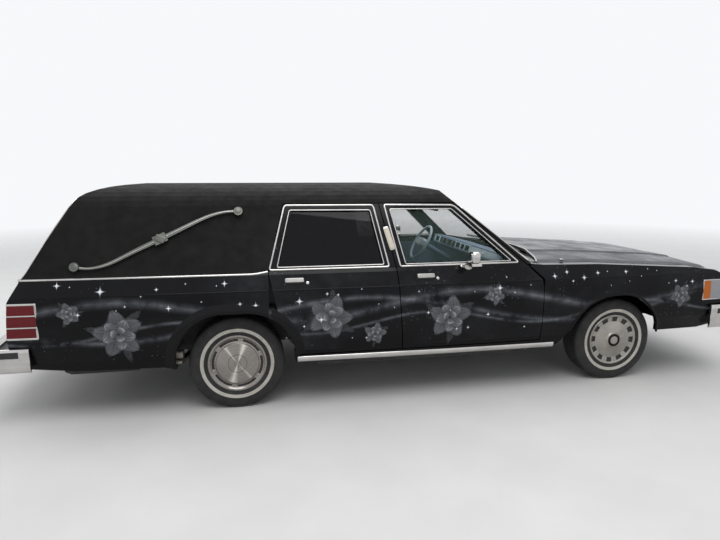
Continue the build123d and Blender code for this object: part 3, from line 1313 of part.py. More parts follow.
# Landau bars: flat S-shaped bars on bosses, on the blank rear side panels.
# Stations: offset from the rear axle, height and half width
BAR_STATIONS = [
    (-981, 1026, 8),
    (-900, 1016, 8),
    (-820, 1027, 10),
    (-655, 1098, 13),
    (-462, 1188, 15),
    (-285, 1272, 13),
    (-130, 1338, 10),
    (-45, 1357, 8),
    (40, 1360, 8),
]
BAR_THICKNESS = 10
BAR_STANDOFF = 14
BOSS_RADIUS = 29
PANEL_SLOPE = 0.4
PANEL_TAPER = 0.032
PANEL_MIDDLE_Y = 829
middle_x, middle_z = REAR_AXLE_X + BAR_STATIONS[4][0], BAR_STATIONS[4][1]
bar_normal = (-PANEL_TAPER, 1, PANEL_SLOPE)
bar_plane = Plane(origin=(middle_x, PANEL_MIDDLE_Y, middle_z), x_dir=(1, PANEL_TAPER, 0), z_dir=bar_normal)
stretch = hypot(1, PANEL_SLOPE)
bar_line = [Vector(REAR_AXLE_X + x - middle_x, (middle_z - z) * stretch) for x, z, _ in BAR_STATIONS]
bar_edges = ([], [])
for place, point in enumerate(bar_line):
    run = bar_line[min(place + 1, len(bar_line) - 1)] - bar_line[max(place - 1, 0)]
    aside = Vector(-run.Y, run.X).normalized() * BAR_STATIONS[place][2]
    bar_edges[0].append(point + aside)
    bar_edges[1].append(point - aside)
with BuildPart() as landau_bar:
    with BuildSketch(bar_plane.offset(BAR_STANDOFF)):
        with BuildLine():
            Spline(*bar_edges[0])
            Line(bar_edges[0][-1], bar_edges[1][-1])
            Spline(*reversed(bar_edges[1]))
            Line(bar_edges[1][0], bar_edges[0][0])
        make_face()
    extrude(amount=BAR_THICKNESS)
    with BuildSketch(bar_plane.offset(-15)):
        with Locations(bar_line[0], bar_line[-1]):
            Circle(BOSS_RADIUS)
    extrude(amount=15 + BAR_STANDOFF + BAR_THICKNESS + 6)
    with BuildSketch(bar_plane.offset(BAR_STANDOFF - 4)):
        Rectangle(84, 62, rotation=-25)
    extrude(amount=BAR_THICKNESS + 10)
    with BuildSketch(bar_plane.offset(-15)):
        Circle(16)
    extrude(amount=15 + BAR_STANDOFF)
    add(ROOF_OUTER, mode=Mode.SUBTRACT)
with BuildPart() as landau_bars:
    add(landau_bar.part)
    add(landau_bar.part.mirror(Plane.XZ))
save(landau_bars.part, "landau_bars")
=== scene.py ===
# %% [markdown]
# A hearse on a station wagon base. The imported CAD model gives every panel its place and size.
# This lesson dresses it: paint, roof covering, chrome, rubber, glass and the small trim.
# Everything is in metres: +X is the front of the car, +Y its left side and +Z is up.

# %% Load the frame
import math

import bmesh
import bpy
import numpy as np
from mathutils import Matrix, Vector


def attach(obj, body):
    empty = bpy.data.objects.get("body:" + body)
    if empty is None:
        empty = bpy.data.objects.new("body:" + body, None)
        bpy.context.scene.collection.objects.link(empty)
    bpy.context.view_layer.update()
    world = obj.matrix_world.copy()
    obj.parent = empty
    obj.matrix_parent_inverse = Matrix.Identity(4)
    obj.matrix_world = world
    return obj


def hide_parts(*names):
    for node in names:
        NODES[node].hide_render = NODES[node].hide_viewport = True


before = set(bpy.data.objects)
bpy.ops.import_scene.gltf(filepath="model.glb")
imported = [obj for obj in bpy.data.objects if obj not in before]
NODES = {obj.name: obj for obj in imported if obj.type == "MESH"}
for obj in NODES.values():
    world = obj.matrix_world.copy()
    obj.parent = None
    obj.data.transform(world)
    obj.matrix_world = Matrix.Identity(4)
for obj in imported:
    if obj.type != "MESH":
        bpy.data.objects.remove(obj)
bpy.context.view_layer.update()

# %% [markdown]
# The camera stands on the car's right side, a little behind the middle, at eye height.
# Its place was found by lining up wheels, windows and body edges, so it is set once, as numbers.

# %% Camera at the photograph's place
CAMERA_PLACE = (-1.0352, -4.5362, 1.6092)
CAMERA_TURN = -10.905
CAMERA_DIP = 10.008
camera_data = bpy.data.cameras.new("camera")
camera_data.lens = 26.88
camera_data.sensor_width = 36.0
camera = bpy.data.objects.new("camera", camera_data)
camera.location = CAMERA_PLACE
camera.rotation_euler = (math.radians(90 - CAMERA_DIP), 0.0, math.radians(CAMERA_TURN))
bpy.context.scene.collection.objects.link(camera)
bpy.context.scene.camera = camera
print("camera at", CAMERA_PLACE)

# %% [markdown]
# Every new piece is a surface worked out with numpy on a grid of rows and columns. These helpers
# turn such a grid into a mesh and hang it on the right moving body. The car is the same on both
# sides, so a piece with {} in its name is worked out for the left and made twice.

# %% Mesh helpers
SIDES = (("right", -1.0), ("left", 1.0))
SLOT_FINISHES = {
    "chrome_trim": ("brushed_chrome", "wheel_steel", "landau_metal_dark_reflection", "landau_rib_highlight", "mirror_face",
                    "blank_plate"),
    "wheel_steel": ("front_cover_metal", "rear_cover_metal", "rim_steel"),
    "blue_plastic": ("pale_blue_fascia", "pale_blue_wheel", "gauge_black", "gauge_ring"),
    "gloss_black_paint": ("airbrushed_paint", "flare_paint", "airbrush_grey", "star_white"),
    "lamp_lens": ("cream_lens",),
}
SLOT_OF = {finish: slot for slot, finishes in SLOT_FINISHES.items() for finish in finishes}


def grid_quads(rows, columns, wrap_rows=False, wrap_columns=False):
    """Quads of a grid: each joins a point with its neighbours one row and one column on."""
    i = np.arange(rows if wrap_rows else rows - 1)
    j = np.arange(columns if wrap_columns else columns - 1)
    i, j = np.meshgrid(i, j, indexing="ij")
    i_next, j_next = (i + 1) % rows, (j + 1) % columns
    corners = (i * columns + j, i_next * columns + j, i_next * columns + j_next, i * columns + j_next)
    return np.stack(corners, -1).reshape(-1, 4)


def set_uv(mesh, u, v):
    """Gives every corner of every face the two values of its point."""
    corner = np.empty(len(mesh.loops), dtype=np.int32)
    mesh.loops.foreach_get("vertex_index", corner)
    values = np.stack([u.ravel()[corner], v.ravel()[corner]], -1).astype(np.float32)
    mesh.uv_layers.new(name="UVMap").data.foreach_set("uv", values.ravel())


def close_form(piece, weld, sharp):
    """Turns every face outwards, after joining points at one place, such as a pole, where weld says
    so. Edges sharper than so many degrees stay crisp."""
    work = bmesh.new()
    work.from_mesh(piece.data)
    if weld:
        bmesh.ops.remove_doubles(work, verts=work.verts, dist=1e-6)
    bmesh.ops.recalc_face_normals(work, faces=work.faces)
    work.to_mesh(piece.data)
    work.free()
    if sharp:
        with bpy.context.temp_override(object=piece, active_object=piece, selected_editable_objects=[piece]):
            bpy.ops.object.shade_smooth_by_angle(angle=math.radians(sharp), keep_sharp_edges=True)


def add_piece(name, points, quads, finish, body="root", slot=None, caps=(), uv=None, weld=False, sharp=None,
              sheet=False, replaces=None):
    """Mesh objects from arrays of points and quads, with flat caps given as lists of points. A sheet
    is open and faces away from the car. The slot is worked out from the finish's name, less the number
    that Blender adds where the CAD model has the name too, but it is not given to the piece here."""
    finish_name = finish.name.split(".")[0]
    slot = slot or SLOT_OF.get(finish_name, finish_name)
    pieces = []
    for side, sign in SIDES if "{}" in name else SIDES[1:]:
        faces = (quads[:, ::-1] if sheet and sign > 0 else quads).tolist() + [list(cap) for cap in caps]
        mesh = bpy.data.meshes.new(name.format(side))
        mesh.from_pydata((points.reshape(-1, 3) * (1.0, sign, 1.0)).tolist(), [], faces)
        mesh.polygons.foreach_set("use_smooth", np.full(len(faces), True))
        mesh.update()
        mesh.materials.append(finish)
        if uv:
            set_uv(mesh, *uv)
        piece = bpy.data.objects.new(name.format(side), mesh)
        bpy.context.scene.collection.objects.link(piece)
        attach(piece, body.format(side))
        if not sheet:
            close_form(piece, weld, sharp)
        if replaces:
            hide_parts(replaces.format(side))
        pieces.append(piece)
    return pieces


def tube_mesh(name, rings, finish, body="root", closed=False, sharp=40, **more):
    """Skin over closed rings of points, (path, section, 3), with flat caps where the path is open."""
    count, section = rings.shape[:2]
    caps = () if closed else (range(section), range((count - 1) * section, count * section))
    quads = grid_quads(count, section, closed, True)
    add_piece(name, rings, quads, finish, body, caps=caps, sharp=sharp, **more)


def around(steps):
    """Angles in equal steps round a full turn."""
    return np.arange(steps) * (2 * np.pi / steps)


print("helpers ready")

# %% [markdown]
# A finish is a node material. One function lays down the shader, and a field is a value that
# changes over it, such as a place, a noise or a colour. Sums on fields add math nodes, so a
# pattern reads like its formula. Values that are the same all over are set on the shader itself.

# %% Material helpers


def new_finish(name, colour, roughness=0.5, **sockets):
    """Node material with one main shader. Other socket values are given by their names."""
    material = bpy.data.materials.new(name)
    material.use_nodes = True
    shader = shader_of(material)
    shader.inputs["Base Color"].default_value = (*colour, 1.0)
    shader.inputs["Roughness"].default_value = roughness
    for key, value in sockets.items():
        shader.inputs[key.replace("_", " ")].default_value = value
    return material


def shader_of(material):
    """The material's main shader."""
    return material.node_tree.nodes["Principled BSDF"]


def node(material, kind, **settings):
    """Adds a node and sets its inputs by name, or its own settings where no input has the name."""
    made = material.node_tree.nodes.new(kind)
    for key, value in settings.items():
        label = key.replace("_", " ")
        if label in made.inputs:
            made.inputs[label].default_value = value
        else:
            setattr(made, key, value)
    return made


def plug(material, value, socket):
    """Links a field to a socket, or sets the socket to a number or a colour."""
    if isinstance(value, Field):
        material.node_tree.links.new(value.socket, socket)
    else:
        socket.default_value = (*value, 1.0) if isinstance(value, tuple) else value


def math_step(material, operation, *values):
    """One math node on fields or numbers."""
    made = node(material, "ShaderNodeMath", operation=operation)
    for socket, value in zip(made.inputs, values):
        plug(material, value, socket)
    return Field(material, made.outputs[0])


class Field:
    """A value that changes over a finish. Signs and methods on it add nodes to the material."""

    def __init__(self, material, socket):
        self.material = material
        self.socket = socket

    __add__ = lambda self, other: math_step(self.material, "ADD", self, other)
    __sub__ = lambda self, other: math_step(self.material, "SUBTRACT", self, other)
    __rsub__ = lambda self, other: math_step(self.material, "SUBTRACT", other, self)
    __mul__ = lambda self, other: math_step(self.material, "MULTIPLY", self, other)
    __truediv__ = lambda self, other: math_step(self.material, "DIVIDE", self, other)
    __pow__ = lambda self, other: math_step(self.material, "POWER", self, other)
    __gt__ = lambda self, other: math_step(self.material, "GREATER_THAN", self, other)
    __lt__ = lambda self, other: math_step(self.material, "LESS_THAN", self, other)
    __abs__ = lambda self: math_step(self.material, "ABSOLUTE", self)
    sine = lambda self: math_step(self.material, "SINE", self)
    at_least = lambda self, other: math_step(self.material, "MAXIMUM", self, other)

    def through(self, kind, output, socket, **settings):
        """What one more node makes of the field."""
        made = node(self.material, kind, **settings)
        plug(self.material, self, made.inputs[socket])
        return Field(self.material, made.outputs[output])

    def clamped(self):
        """The last sum, kept between 0 and 1."""
        self.socket.node.use_clamp = True
        return self

    def split(self):
        """The three parts of a place or of a map position."""
        parts = self.through("ShaderNodeSeparateXYZ", 0, "Vector").socket.node.outputs
        return [Field(self.material, part) for part in parts]

    def rescaled(self, from_low, from_high, low, high):
        """The field with one range stretched on to another."""
        return self.through("ShaderNodeMapRange", "Result", "Value", From_Min=from_low, From_Max=from_high,
                            To_Min=low, To_Max=high)

    def ramp(self, *stops):
        """Colour ramp through two or more (value, colour) stops."""
        made = self.through("ShaderNodeValToRGB", "Color", "Fac")
        elements = made.socket.node.color_ramp.elements
        while len(elements) < len(stops):
            elements.new(0.5)
        for element, (where, colour) in zip(elements, stops):
            element.position = where
            element.color = (*colour, 1.0)
        return made

    def bump(self, strength, distance):
        """Feeds the field to the shader's normal as a height."""
        self.through("ShaderNodeBump", "Normal", "Height", Strength=strength, Distance=distance).into("Normal")

    def into(self, socket_name):
        """Feeds the field to a socket of the main shader."""
        plug(self.material, self, shader_of(self.material).inputs[socket_name])


def place(material):
    """Object coordinates, which stay with the piece as it moves."""
    return Field(material, node(material, "ShaderNodeTexCoord").outputs["Object"])


def map_of(material):
    """The piece's own map position, whose first two parts are u and v."""
    return Field(material, node(material, "ShaderNodeUVMap").outputs["UV"])


def noise(material, scale, detail=4.0, roughness=0.55, vector=None):
    """Cloudy pattern at this many features to the metre."""
    source = vector or place(material)
    return source.through("ShaderNodeTexNoise", "Fac", "Vector", Scale=scale, Detail=detail,
                          Roughness=roughness)


def blend(share, first, second):
    """Mixes two colours, each a field or a plain colour, by a share from 0 to 1."""
    made = share.through("ShaderNodeMix", 2, "Factor", data_type="RGBA")
    for socket, value in zip(made.socket.node.inputs[6:8], (first, second)):
        plug(share.material, value, socket)
    return made


def grey(level):
    """Colour with three like parts."""
    return (level,) * 3


print("finish helpers ready")

# %% [markdown]
# The car stands on a plain pale floor with soft studio light. The floor keeps its shadow, and the
# world is white only for what the camera, the gloss and the glass look at, so the light on the
# paint itself stays at a plain level.

# %% Floor, world and lamps
floor_finish = new_finish("studio_floor", (0.66, 0.66, 0.65), 0.85)
noise(floor_finish, 1.6, 6.0).ramp((0.3, (0.63, 0.63, 0.62)), (0.7, (0.69, 0.69, 0.68))).into("Base Color")
from_middle = place(floor_finish).through("ShaderNodeVectorMath", "Value", 0, operation="LENGTH")
from_middle.rescaled(4.0, 16.0, 1.0, 0.0).into("Alpha")
FLOOR_HALF = 30
floor_mesh = bpy.data.meshes.new("floor")
floor_corners = [(x * FLOOR_HALF, y * FLOOR_HALF, 0) for x, y in ((-1, -1), (1, -1), (1, 1), (-1, 1))]
floor_mesh.from_pydata(floor_corners, [], [(0, 1, 2, 3)])
floor_mesh.materials.append(floor_finish)
floor = bpy.data.objects.new("floor", floor_mesh)
bpy.context.scene.collection.objects.link(floor)

world = bpy.data.worlds.new("studio")
bpy.context.scene.world = world
world.use_nodes = True
backdrop = world.node_tree.nodes["Background"]
backdrop.inputs["Color"].default_value = (0.93, 0.94, 0.96, 1.0)
looks = node(world, "ShaderNodeLightPath").outputs
kinds = ("Camera", "Glossy", "Transmission")
seen, in_gloss, through_glass = (Field(world, looks[f"Is {kind} Ray"]) for kind in kinds)
strength = seen.at_least(in_gloss).at_least(through_glass).rescaled(0.0, 1.0, 0.55, 1.0)
plug(world, strength, backdrop.inputs["Strength"])


def soft_lamp(name, where, size, power):
    """Large square area lamp that faces the middle of the car."""
    data = bpy.data.lights.new(name, "AREA")
    data.size = size
    data.energy = power
    lamp = bpy.data.objects.new(name, data)
    lamp.location = where
    lamp.rotation_euler = (Vector((0, 0, 0.7)) - Vector(where)).to_track_quat("-Z", "Y").to_euler()
    bpy.context.scene.collection.objects.link(lamp)


soft_lamp("key_lamp", (-0.6, -3.4, 6.6), 5.0, 240)
soft_lamp("top_lamp", (1.0, 2.0, 6.5), 7.0, 210)
soft_lamp("rear_lamp", (-6.5, 3.0, 4.0), 4.0, 90)
print("studio set")

# %% [markdown]
# Gloss black paint covers most of the car. Real paint is never one colour: it has a clear coat
# with faint ripple, and this car carries soft airbrushed mist and ribbons on its sides.
# They are painted with maths on the place of each point, so they run across every panel gap.

# %% Gloss black paint


def ribbon(x, z, middle, swing, pitch, phase, width):
    """Soft band round the line z = middle + swing * sin(pitch * x + phase): 1 on it, 0 past its width."""
    line = (x * pitch + phase).sine() * swing + middle
    return (1.0 - abs(z - line) / width).clamped() ** 2.0


def paint_base(name, roughness=0.09):
    """Black with a fine ripple in the coat and rubbed roughness."""
    paint = new_finish(name, (0.003, 0.003, 0.004), roughness, Specular_IOR_Level=0.16)
    noise(paint, 5.0, 6.0).rescaled(0.3, 0.8, roughness * 0.7, roughness * 2.2).into("Roughness")
    noise(paint, 140.0, 2.0).bump(0.05, 0.0006)
    return paint


side_paint = paint_base("airbrushed_paint")
x, y, z = place(side_paint).split()
patches = noise(side_paint, 1.7, 3.0).ramp((0.45, grey(0)), (0.68, grey(1)))
smoke = noise(side_paint, 6.0, 8.0, 0.65).ramp((0.35, grey(0)), (0.8, grey(1)))
bands = ribbon(x, z, 0.72, 0.085, 2.6, 0.4, 0.05) + ribbon(x, z, 0.66, 0.12, 1.9, 2.2, 0.035)
bands = bands + ribbon(x, z, 0.60, 0.06, 3.7, 1.0, 0.022)
cells = place(side_paint).through("ShaderNodeTexVoronoi", "Distance", "Vector", Scale=42.0, Randomness=1.0)
dust = (cells < 0.085) * noise(side_paint, 3.1, 2.0).ramp((0.5, grey(0)), (0.62, grey(1))) * 0.5
art = bands * smoke * 0.30 + patches * smoke * 0.035 + dust
on_lower_side = art * (abs(y) > 0.86) * (z > 0.42)
blend(on_lower_side.clamped(), (0.003, 0.003, 0.004), (0.62, 0.66, 0.74)).into("Base Color")
plain_paint = paint_base("gloss_black_paint")
print("paints", side_paint.name, plain_paint.name)

# %% [markdown]
# The hood faces up, so it gathers dust, and polishing leaves it a little dull. Its colour fades
# to a grey-blue film where the surface looks at the sky: partly dust, partly a painted sky sheen.

# %% Hood paint: dust and painted sky sheen
hood_paint = paint_base("hood_paint_dust_and_sheen", 0.22)
# Painted sheen: where the hood faces up its colour lifts to a grey-blue film, partly dust and partly the sky's
# reflection painted in.
facing = Field(hood_paint, node(hood_paint, "ShaderNodeNewGeometry").outputs["Normal"]).split()[2]
dust_and_sky_sheen = facing.at_least(0.0) ** 3.0 * noise(hood_paint, 9.0, 8.0, 0.7).ramp((0.3, grey(0.35)), (0.75, grey(1)))
blend(dust_and_sky_sheen, (0.005, 0.005, 0.006), (0.062, 0.068, 0.080)).into("Base Color")
print("hood paint ready")

# %% [markdown]
# The roof and the blank rear quarters are covered with matt black grained vinyl. Its grain is
# a net of small pebbles, made from cell noise, with soft creases over it.

# %% Roof vinyl
vinyl = new_finish("roof_vinyl", (0.008, 0.0075, 0.007), 0.72, Specular_IOR_Level=0.14)
pebbles = place(vinyl).through("ShaderNodeTexVoronoi", "Distance", "Vector", Scale=420.0, feature="SMOOTH_F1",
                               Smoothness=0.4)
(pebbles + noise(vinyl, 60.0, 6.0) * 0.6).bump(0.35, 0.0012)
vinyl_tones = (0.3, (0.0065, 0.006, 0.0058)), (0.75, (0.011, 0.0102, 0.0098))
noise(vinyl, 3.0, 8.0, 0.65).ramp(*vinyl_tones).into("Base Color")
noise(vinyl, 14.0, 5.0).ramp((0.3, grey(0.62)), (0.7, grey(0.84))).into("Roughness")
print("vinyl ready")

# %% [markdown]
# Bright metal comes in three kinds here: polished chrome, satin pressed covers and brushed
# handles. They share one recipe: a metal whose gloss is broken by smudges and fine lines.

# %% Bright metals


def bright_metal(name, colour, low, high, stretch=(1.0, 1.0, 1.0), scale=30.0, ripple=0.03):
    """Metal with roughness between two levels, after noise that is stretched along one axis."""
    metal = new_finish(name, colour, low, Metallic=1.0)
    turned = place(metal).through("ShaderNodeMapping", "Vector", "Vector", Scale=stretch)
    smudge = noise(metal, scale, 6.0, 0.6, turned)
    smudge.rescaled(0.3, 0.75, low, high).into("Roughness")
    smudge.bump(ripple, 0.0004)
    dull = tuple(0.82 * part for part in colour)
    noise(metal, 7.0, 5.0).ramp((0.35, dull), (0.65, colour)).into("Base Color")
    return metal


chrome = bright_metal("chrome_trim", (0.62, 0.605, 0.59), 0.07, 0.25)
satin_metal = bright_metal("wheel_steel", (0.60, 0.60, 0.59), 0.28, 0.46, scale=60.0, ripple=0.08)
brushed_metal = bright_metal("brushed_chrome", (0.43, 0.42, 0.40), 0.24, 0.42, (1.0, 1.0, 40.0), 25.0, 0.06)
frame_metal = bright_metal("frame_steel", (0.045, 0.044, 0.043), 0.45, 0.7, scale=25.0, ripple=0.3)
floor_metal = bright_metal("floor_steel", (0.03, 0.03, 0.032), 0.5, 0.75, scale=20.0, ripple=0.3)
# Painted reflection and highlight: the landau bars' metal is darkened to stand for a dim room it reflects, and the
# rib's metal is a brighter copy, a painted highlight along the ridge.
bar_metal_dark_reflection = bright_metal("landau_metal_dark_reflection", (0.13, 0.135, 0.122), 0.30, 0.48, ripple=0.05)
rib_metal_highlight = bright_metal("landau_rib_highlight", (0.40, 0.40, 0.38), 0.2, 0.36, ripple=0.05)
iron = bright_metal("engine_iron", (0.10, 0.105, 0.11), 0.5, 0.75, scale=35.0, ripple=0.5)
alloy = bright_metal("radiator_alloy", (0.30, 0.30, 0.30), 0.4, 0.6, (1.0, 60.0, 1.0), 30.0, 0.4)
pipe_metal = bright_metal("exhaust_steel", (0.33, 0.31, 0.28), 0.3, 0.55, scale=18.0, ripple=0.2)
for dark in (frame_metal, floor_metal):
    shader_of(dark).inputs["Metallic"].default_value = 0.2
print("metals ready")

# %% [markdown]
# Plastics, rubber and glass follow. Moulded plastic has a fine even grain, rubber is dull with
# dust, and the panes are thin, so they are see-through with a tint and no bending of light.

# %% Plastics, rubber and glass


def moulded(name, colour, roughness, scale=350.0, strength=0.2):
    """Plastic or rubber with fine grain and a slow change of tone."""
    made = new_finish(name, colour, roughness)
    paler = tuple(min(1.0, part * 1.35 + 0.003) for part in colour)
    noise(made, 8.0, 6.0).ramp((0.3, colour), (0.75, paler)).into("Base Color")
    noise(made, scale, 3.0).bump(strength, 0.0006)
    noise(made, 20.0, 4.0).rescaled(0.3, 0.7, roughness * 0.85, min(1.0, roughness * 1.15)).into("Roughness")
    return made


def pane_glass(name, tint, share, specular):
    """Thin pane: a share of tinted straight-through light under a gloss that grows at a slant."""
    glass = new_finish(name, tint, 0.02, Alpha=1.0 - share, Specular_IOR_Level=specular)
    haze = noise(glass, 4.0, 5.0)
    haze.ramp((0.3, grey(1.0 - share)), (0.8, grey(min(1.0, 1.03 - share)))).into("Alpha")
    return glass


def lens(name, colour, ribs_along="Z", scale=60.0, clear_x=None):
    """Moulded lens: deep colour, polished skin and fine ribs from a wave. Past clear_x it is clear."""
    made = new_finish(name, colour, 0.12, Specular_IOR_Level=0.3)
    ribs = place(made).through("ShaderNodeTexWave", "Fac", "Vector", Scale=scale, Distortion=0.3,
                               bands_direction=ribs_along)
    tone = ribs.ramp((0.2, tuple(part * 0.55 for part in colour)), (0.8, colour))
    if clear_x:
        tone = blend(place(made).split()[0] > clear_x, tone, (0.30, 0.31, 0.33))
    tone.into("Base Color")
    ribs.bump(0.3, 0.001)
    return made


rubber_trim = moulded("black_plastic", (0.012, 0.012, 0.013), 0.5)
dash_plastic = moulded("blue_plastic", (0.11, 0.17, 0.25), 0.5)
clear_glass = pane_glass("clear_glass", (0.07, 0.11, 0.09), 0.86, 0.3)
dark_glass = pane_glass("dark_glass", (0.003, 0.003, 0.004), 0.14, 0.2)
deck_wood = moulded("deck_wood", (0.035, 0.022, 0.014), 0.4, 60.0)
leather = moulded("seat_leather", (0.035, 0.05, 0.085), 0.5, 260.0, 0.35)
red_lens = lens("red_lens", (0.16, 0.003, 0.007))
corner_lens = lens("two_tone_lens", (0.62, 0.16, 0.012), clear_x=2.507)
headlamp_glass = lens("headlamp_glass", (0.24, 0.26, 0.28), "Y", 22.0)
cream_lens = lens("cream_lens", (0.78, 0.72, 0.58))
wheel_blue = moulded("pale_blue_wheel", (0.58, 0.72, 0.86), 0.32)
print("plastics, glass and lenses ready")

# %% [markdown]
# Each part of the frame that keeps its CAD form now gets its finish. The table names every node
# once, so nothing is left with the plain colour of its material slot.

# %% Finish of every CAD part
NODE_FINISH = {
    "body_sides": side_paint, "front_fenders": side_paint, "nose_panel": plain_paint, "hood": hood_paint,
    "cowl_panel": plain_paint, "rear_door": plain_paint, "roof_shell": vinyl, "grille": chrome,
    "headlamps": headlamp_glass, "corner_lamps": corner_lens, "tail_lamps": red_lens, "front_bumper": chrome,
    "rear_bumper": chrome, "landau_bars": bar_metal_dark_reflection, "windshield": clear_glass, "rear_glass": dark_glass,
    "dashboard": dash_plastic, "steering_wheel": wheel_blue, "front_seat": leather, "casket_deck": deck_wood,
    "chassis_frame": frame_metal, "floor_pan": floor_metal, "engine": iron, "radiator": alloy,
    "rear_axle": frame_metal, "front_suspension": frame_metal, "exhaust": pipe_metal, "fuel_tank": floor_metal,
}
for side in ("left", "right"):
    NODE_FINISH |= {
        f"door_front_{side}": side_paint, f"door_rear_{side}": side_paint, f"glass_front_{side}": clear_glass,
        f"glass_rear_{side}": dark_glass, f"mirror_{side}": chrome, f"knuckle_{side}": frame_metal,
    }
    for end in ("front", "rear"):
        NODE_FINISH |= {f"tyre_{end}_{side}": rubber_trim, f"wheel_{end}_{side}": satin_metal}
for node_name, finish in NODE_FINISH.items():
    part_mesh = NODES[node_name].data
    part_mesh.materials.clear()
    part_mesh.materials.append(finish)
print("finishes on", len(NODE_FINISH), "nodes, missing", sorted(set(NODES) - set(NODE_FINISH)))

# %% [markdown]
# The road wheels come first, because they sit close to the eye. Each is turned on its axle like
# clay on a wheel: a profile of radius and outward place is carried round in equal steps.

# %% Turning a profile about an axle
REAR_AXLE_X = -1.195
FRONT_AXLE_X = 1.708
AXLES = (("rear", REAR_AXLE_X), ("front", FRONT_AXLE_X))
AXLE_Z = 0.325
HALF_TRACK = 0.790


def turned_grid(radius, outward, angle, axle_x):
    """Points of a turned form: x = axle + r cos(a), y = track + outward, z = axle height + r sin(a)."""
    x = axle_x + radius * np.cos(angle)
    y = HALF_TRACK + outward + 0.0 * angle
    z = AXLE_Z + radius * np.sin(angle)
    return np.stack(np.broadcast_arrays(x, y, z), -1)


def smooth_step(value, low, high):
    """0 below low, 1 above high and a soft S between them."""
    share = np.clip((value - low) / (high - low), 0.0, 1.0)
    return share * share * (3.0 - 2.0 * share)


def soft_band(value, start, full, fading, end):
    """0 outside start and end, 1 between full and fading, soft in between."""
    return smooth_step(value, start, full) * (1 - smooth_step(value, fading, end))


print("turning tools ready")

# %% [markdown]
# A tyre's side bulges and its tread has grooves. The tread pattern here is four grooves that
# run round with short zigzag cuts between them, pressed into the grid by a function of the angle
# and of the place across. The white ring on the side is painted by distance from the axle.

# %% Tyres
tyre_rubber = moulded("tyre_rubber", (0.011, 0.011, 0.011), 0.75, 500.0, 0.25)
radius_here = map_of(tyre_rubber).split()[1]
ring = (radius_here > 0.2270) * (radius_here < 0.2505)
dirt = noise(tyre_rubber, 22.0, 6.0, 0.7).ramp((0.25, (0.38, 0.36, 0.31)), (0.7, (0.56, 0.545, 0.50)))
rubber_tone = noise(tyre_rubber, 11.0, 6.0).ramp((0.3, grey(0.010)), (0.75, (0.024, 0.023, 0.022)))
blend(ring, rubber_tone, dirt).into("Base Color")

TYRE_RADIUS = 0.325
TYRE_SIDE = np.array([
    (0.1915, 0.0830), (0.2045, 0.0850), (0.2045, 0.0930), (0.2160, 0.0980), (0.2260, 0.1005), (0.2280, 0.1020),
    (0.2495, 0.1050), (0.2515, 0.1040), (0.2700, 0.1055), (0.2950, 0.1010), (0.3130, 0.0950), (0.3205, 0.0880),
    (0.3245, 0.0780), (0.3250, 0.0700),
])
TREAD_ACROSS = np.linspace(0.068, -0.068, 35)
TREAD_STEPS = 288
TREAD_CUTS = 72


def tyre_surface(axle_x):
    """Closed grid of angle by profile. The tread sinks 6.5 mm in four grooves round the tyre and in
    zigzag cuts, whose angle shifts with the place across."""
    tread = np.stack([np.full_like(TREAD_ACROSS, TYRE_RADIUS), TREAD_ACROSS], -1)
    radius, outward = np.concatenate([TYRE_SIDE, tread, TYRE_SIDE[::-1] * (1.0, -1.0)]).T[:, None, :]
    angle = around(TREAD_STEPS)[:, None]
    across = np.abs(outward)
    groove = (np.abs(across - 0.018) < 0.0035) | (np.abs(across - 0.048) < 0.0035)
    cut = ((angle * TREAD_CUTS / (2 * np.pi) + across * 14.0) % 1.0 < 0.2) & (across > 0.010)
    depth = np.where((across <= 0.0685) & (radius > 0.32) & (groove | cut), 0.0065, 0.0)
    return turned_grid(radius - depth, outward, angle, axle_x), np.broadcast_arrays(angle / (2 * np.pi), radius)


for end, axle_x in AXLES:
    points, tyre_map = tyre_surface(axle_x)
    quads = grid_quads(*points.shape[:2], True, True)
    add_piece(f"tread_{end}_{{}}", points, quads, tyre_rubber, f"wheel_{end}_{{}}", uv=tyre_map, sharp=32,
              replaces=f"tyre_{end}_{{}}")
print("tyres with", len(quads), "faces each")

# %% [markdown]
# The wheel covers are pressed steel discs. The front pair is dished, with twelve square vents
# near the rim and a raised hub cap. The rear pair is flatter: a brushed middle whose fine turning
# lines throw a cross of light, with four highlight rays painted on it as well, a ring with slots and
# a stepped rim. Both are one grid of angle and radius, and vents and slots are pits in the height,
# painted near black as shade.

# %% Wheel cover finishes


def cover_finish(name, low, high, low_tone, high_tone, rays=(), dark_rings=()):
    """Metal on the polar map: turning lines by radius, highlight rays painted by angle, dark ring lines,
    and painted shade, near black, in the pits, where u is below 0."""
    metal = bright_metal(name, (0.60, 0.60, 0.59), low, high, scale=50.0)
    turn, radius, _ = map_of(metal).split()
    lines = radius.through("ShaderNodeTexNoise", "Fac", "W", Scale=900.0, Detail=2.0, noise_dimensions="1D")
    lines.bump(0.25, 0.0003)
    tone = noise(metal, 9.0, 5.0).ramp((0.3, low_tone), (0.7, high_tone))
    # Painted highlights: a light ray round each given angle, on the middle of the cover.
    for middle, wide, light in rays:
        painted_ray = (1.0 - abs(turn - middle) / wide).clamped() ** 1.5
        tone = blend(painted_ray * ((radius < 0.141) * light), tone, (0.86, 0.82, 0.78))
    for inner, outer in dark_rings:
        tone = blend((radius > inner) * (radius < outer), tone, (0.022, 0.020, 0.018))
    # Painted shade: the vents and slots, where u is below 0, are near black and not metal.
    painted_pit_shade = turn < -0.5
    blend(painted_pit_shade, tone, grey(0.012)).into("Base Color")
    (1.0 - painted_pit_shade).into("Metallic")
    return metal


front_cover_metal = cover_finish("front_cover_metal", 0.25, 0.40, (0.30, 0.285, 0.26), (0.40, 0.38, 0.35),
                                 dark_rings=((0.031, 0.0515),))
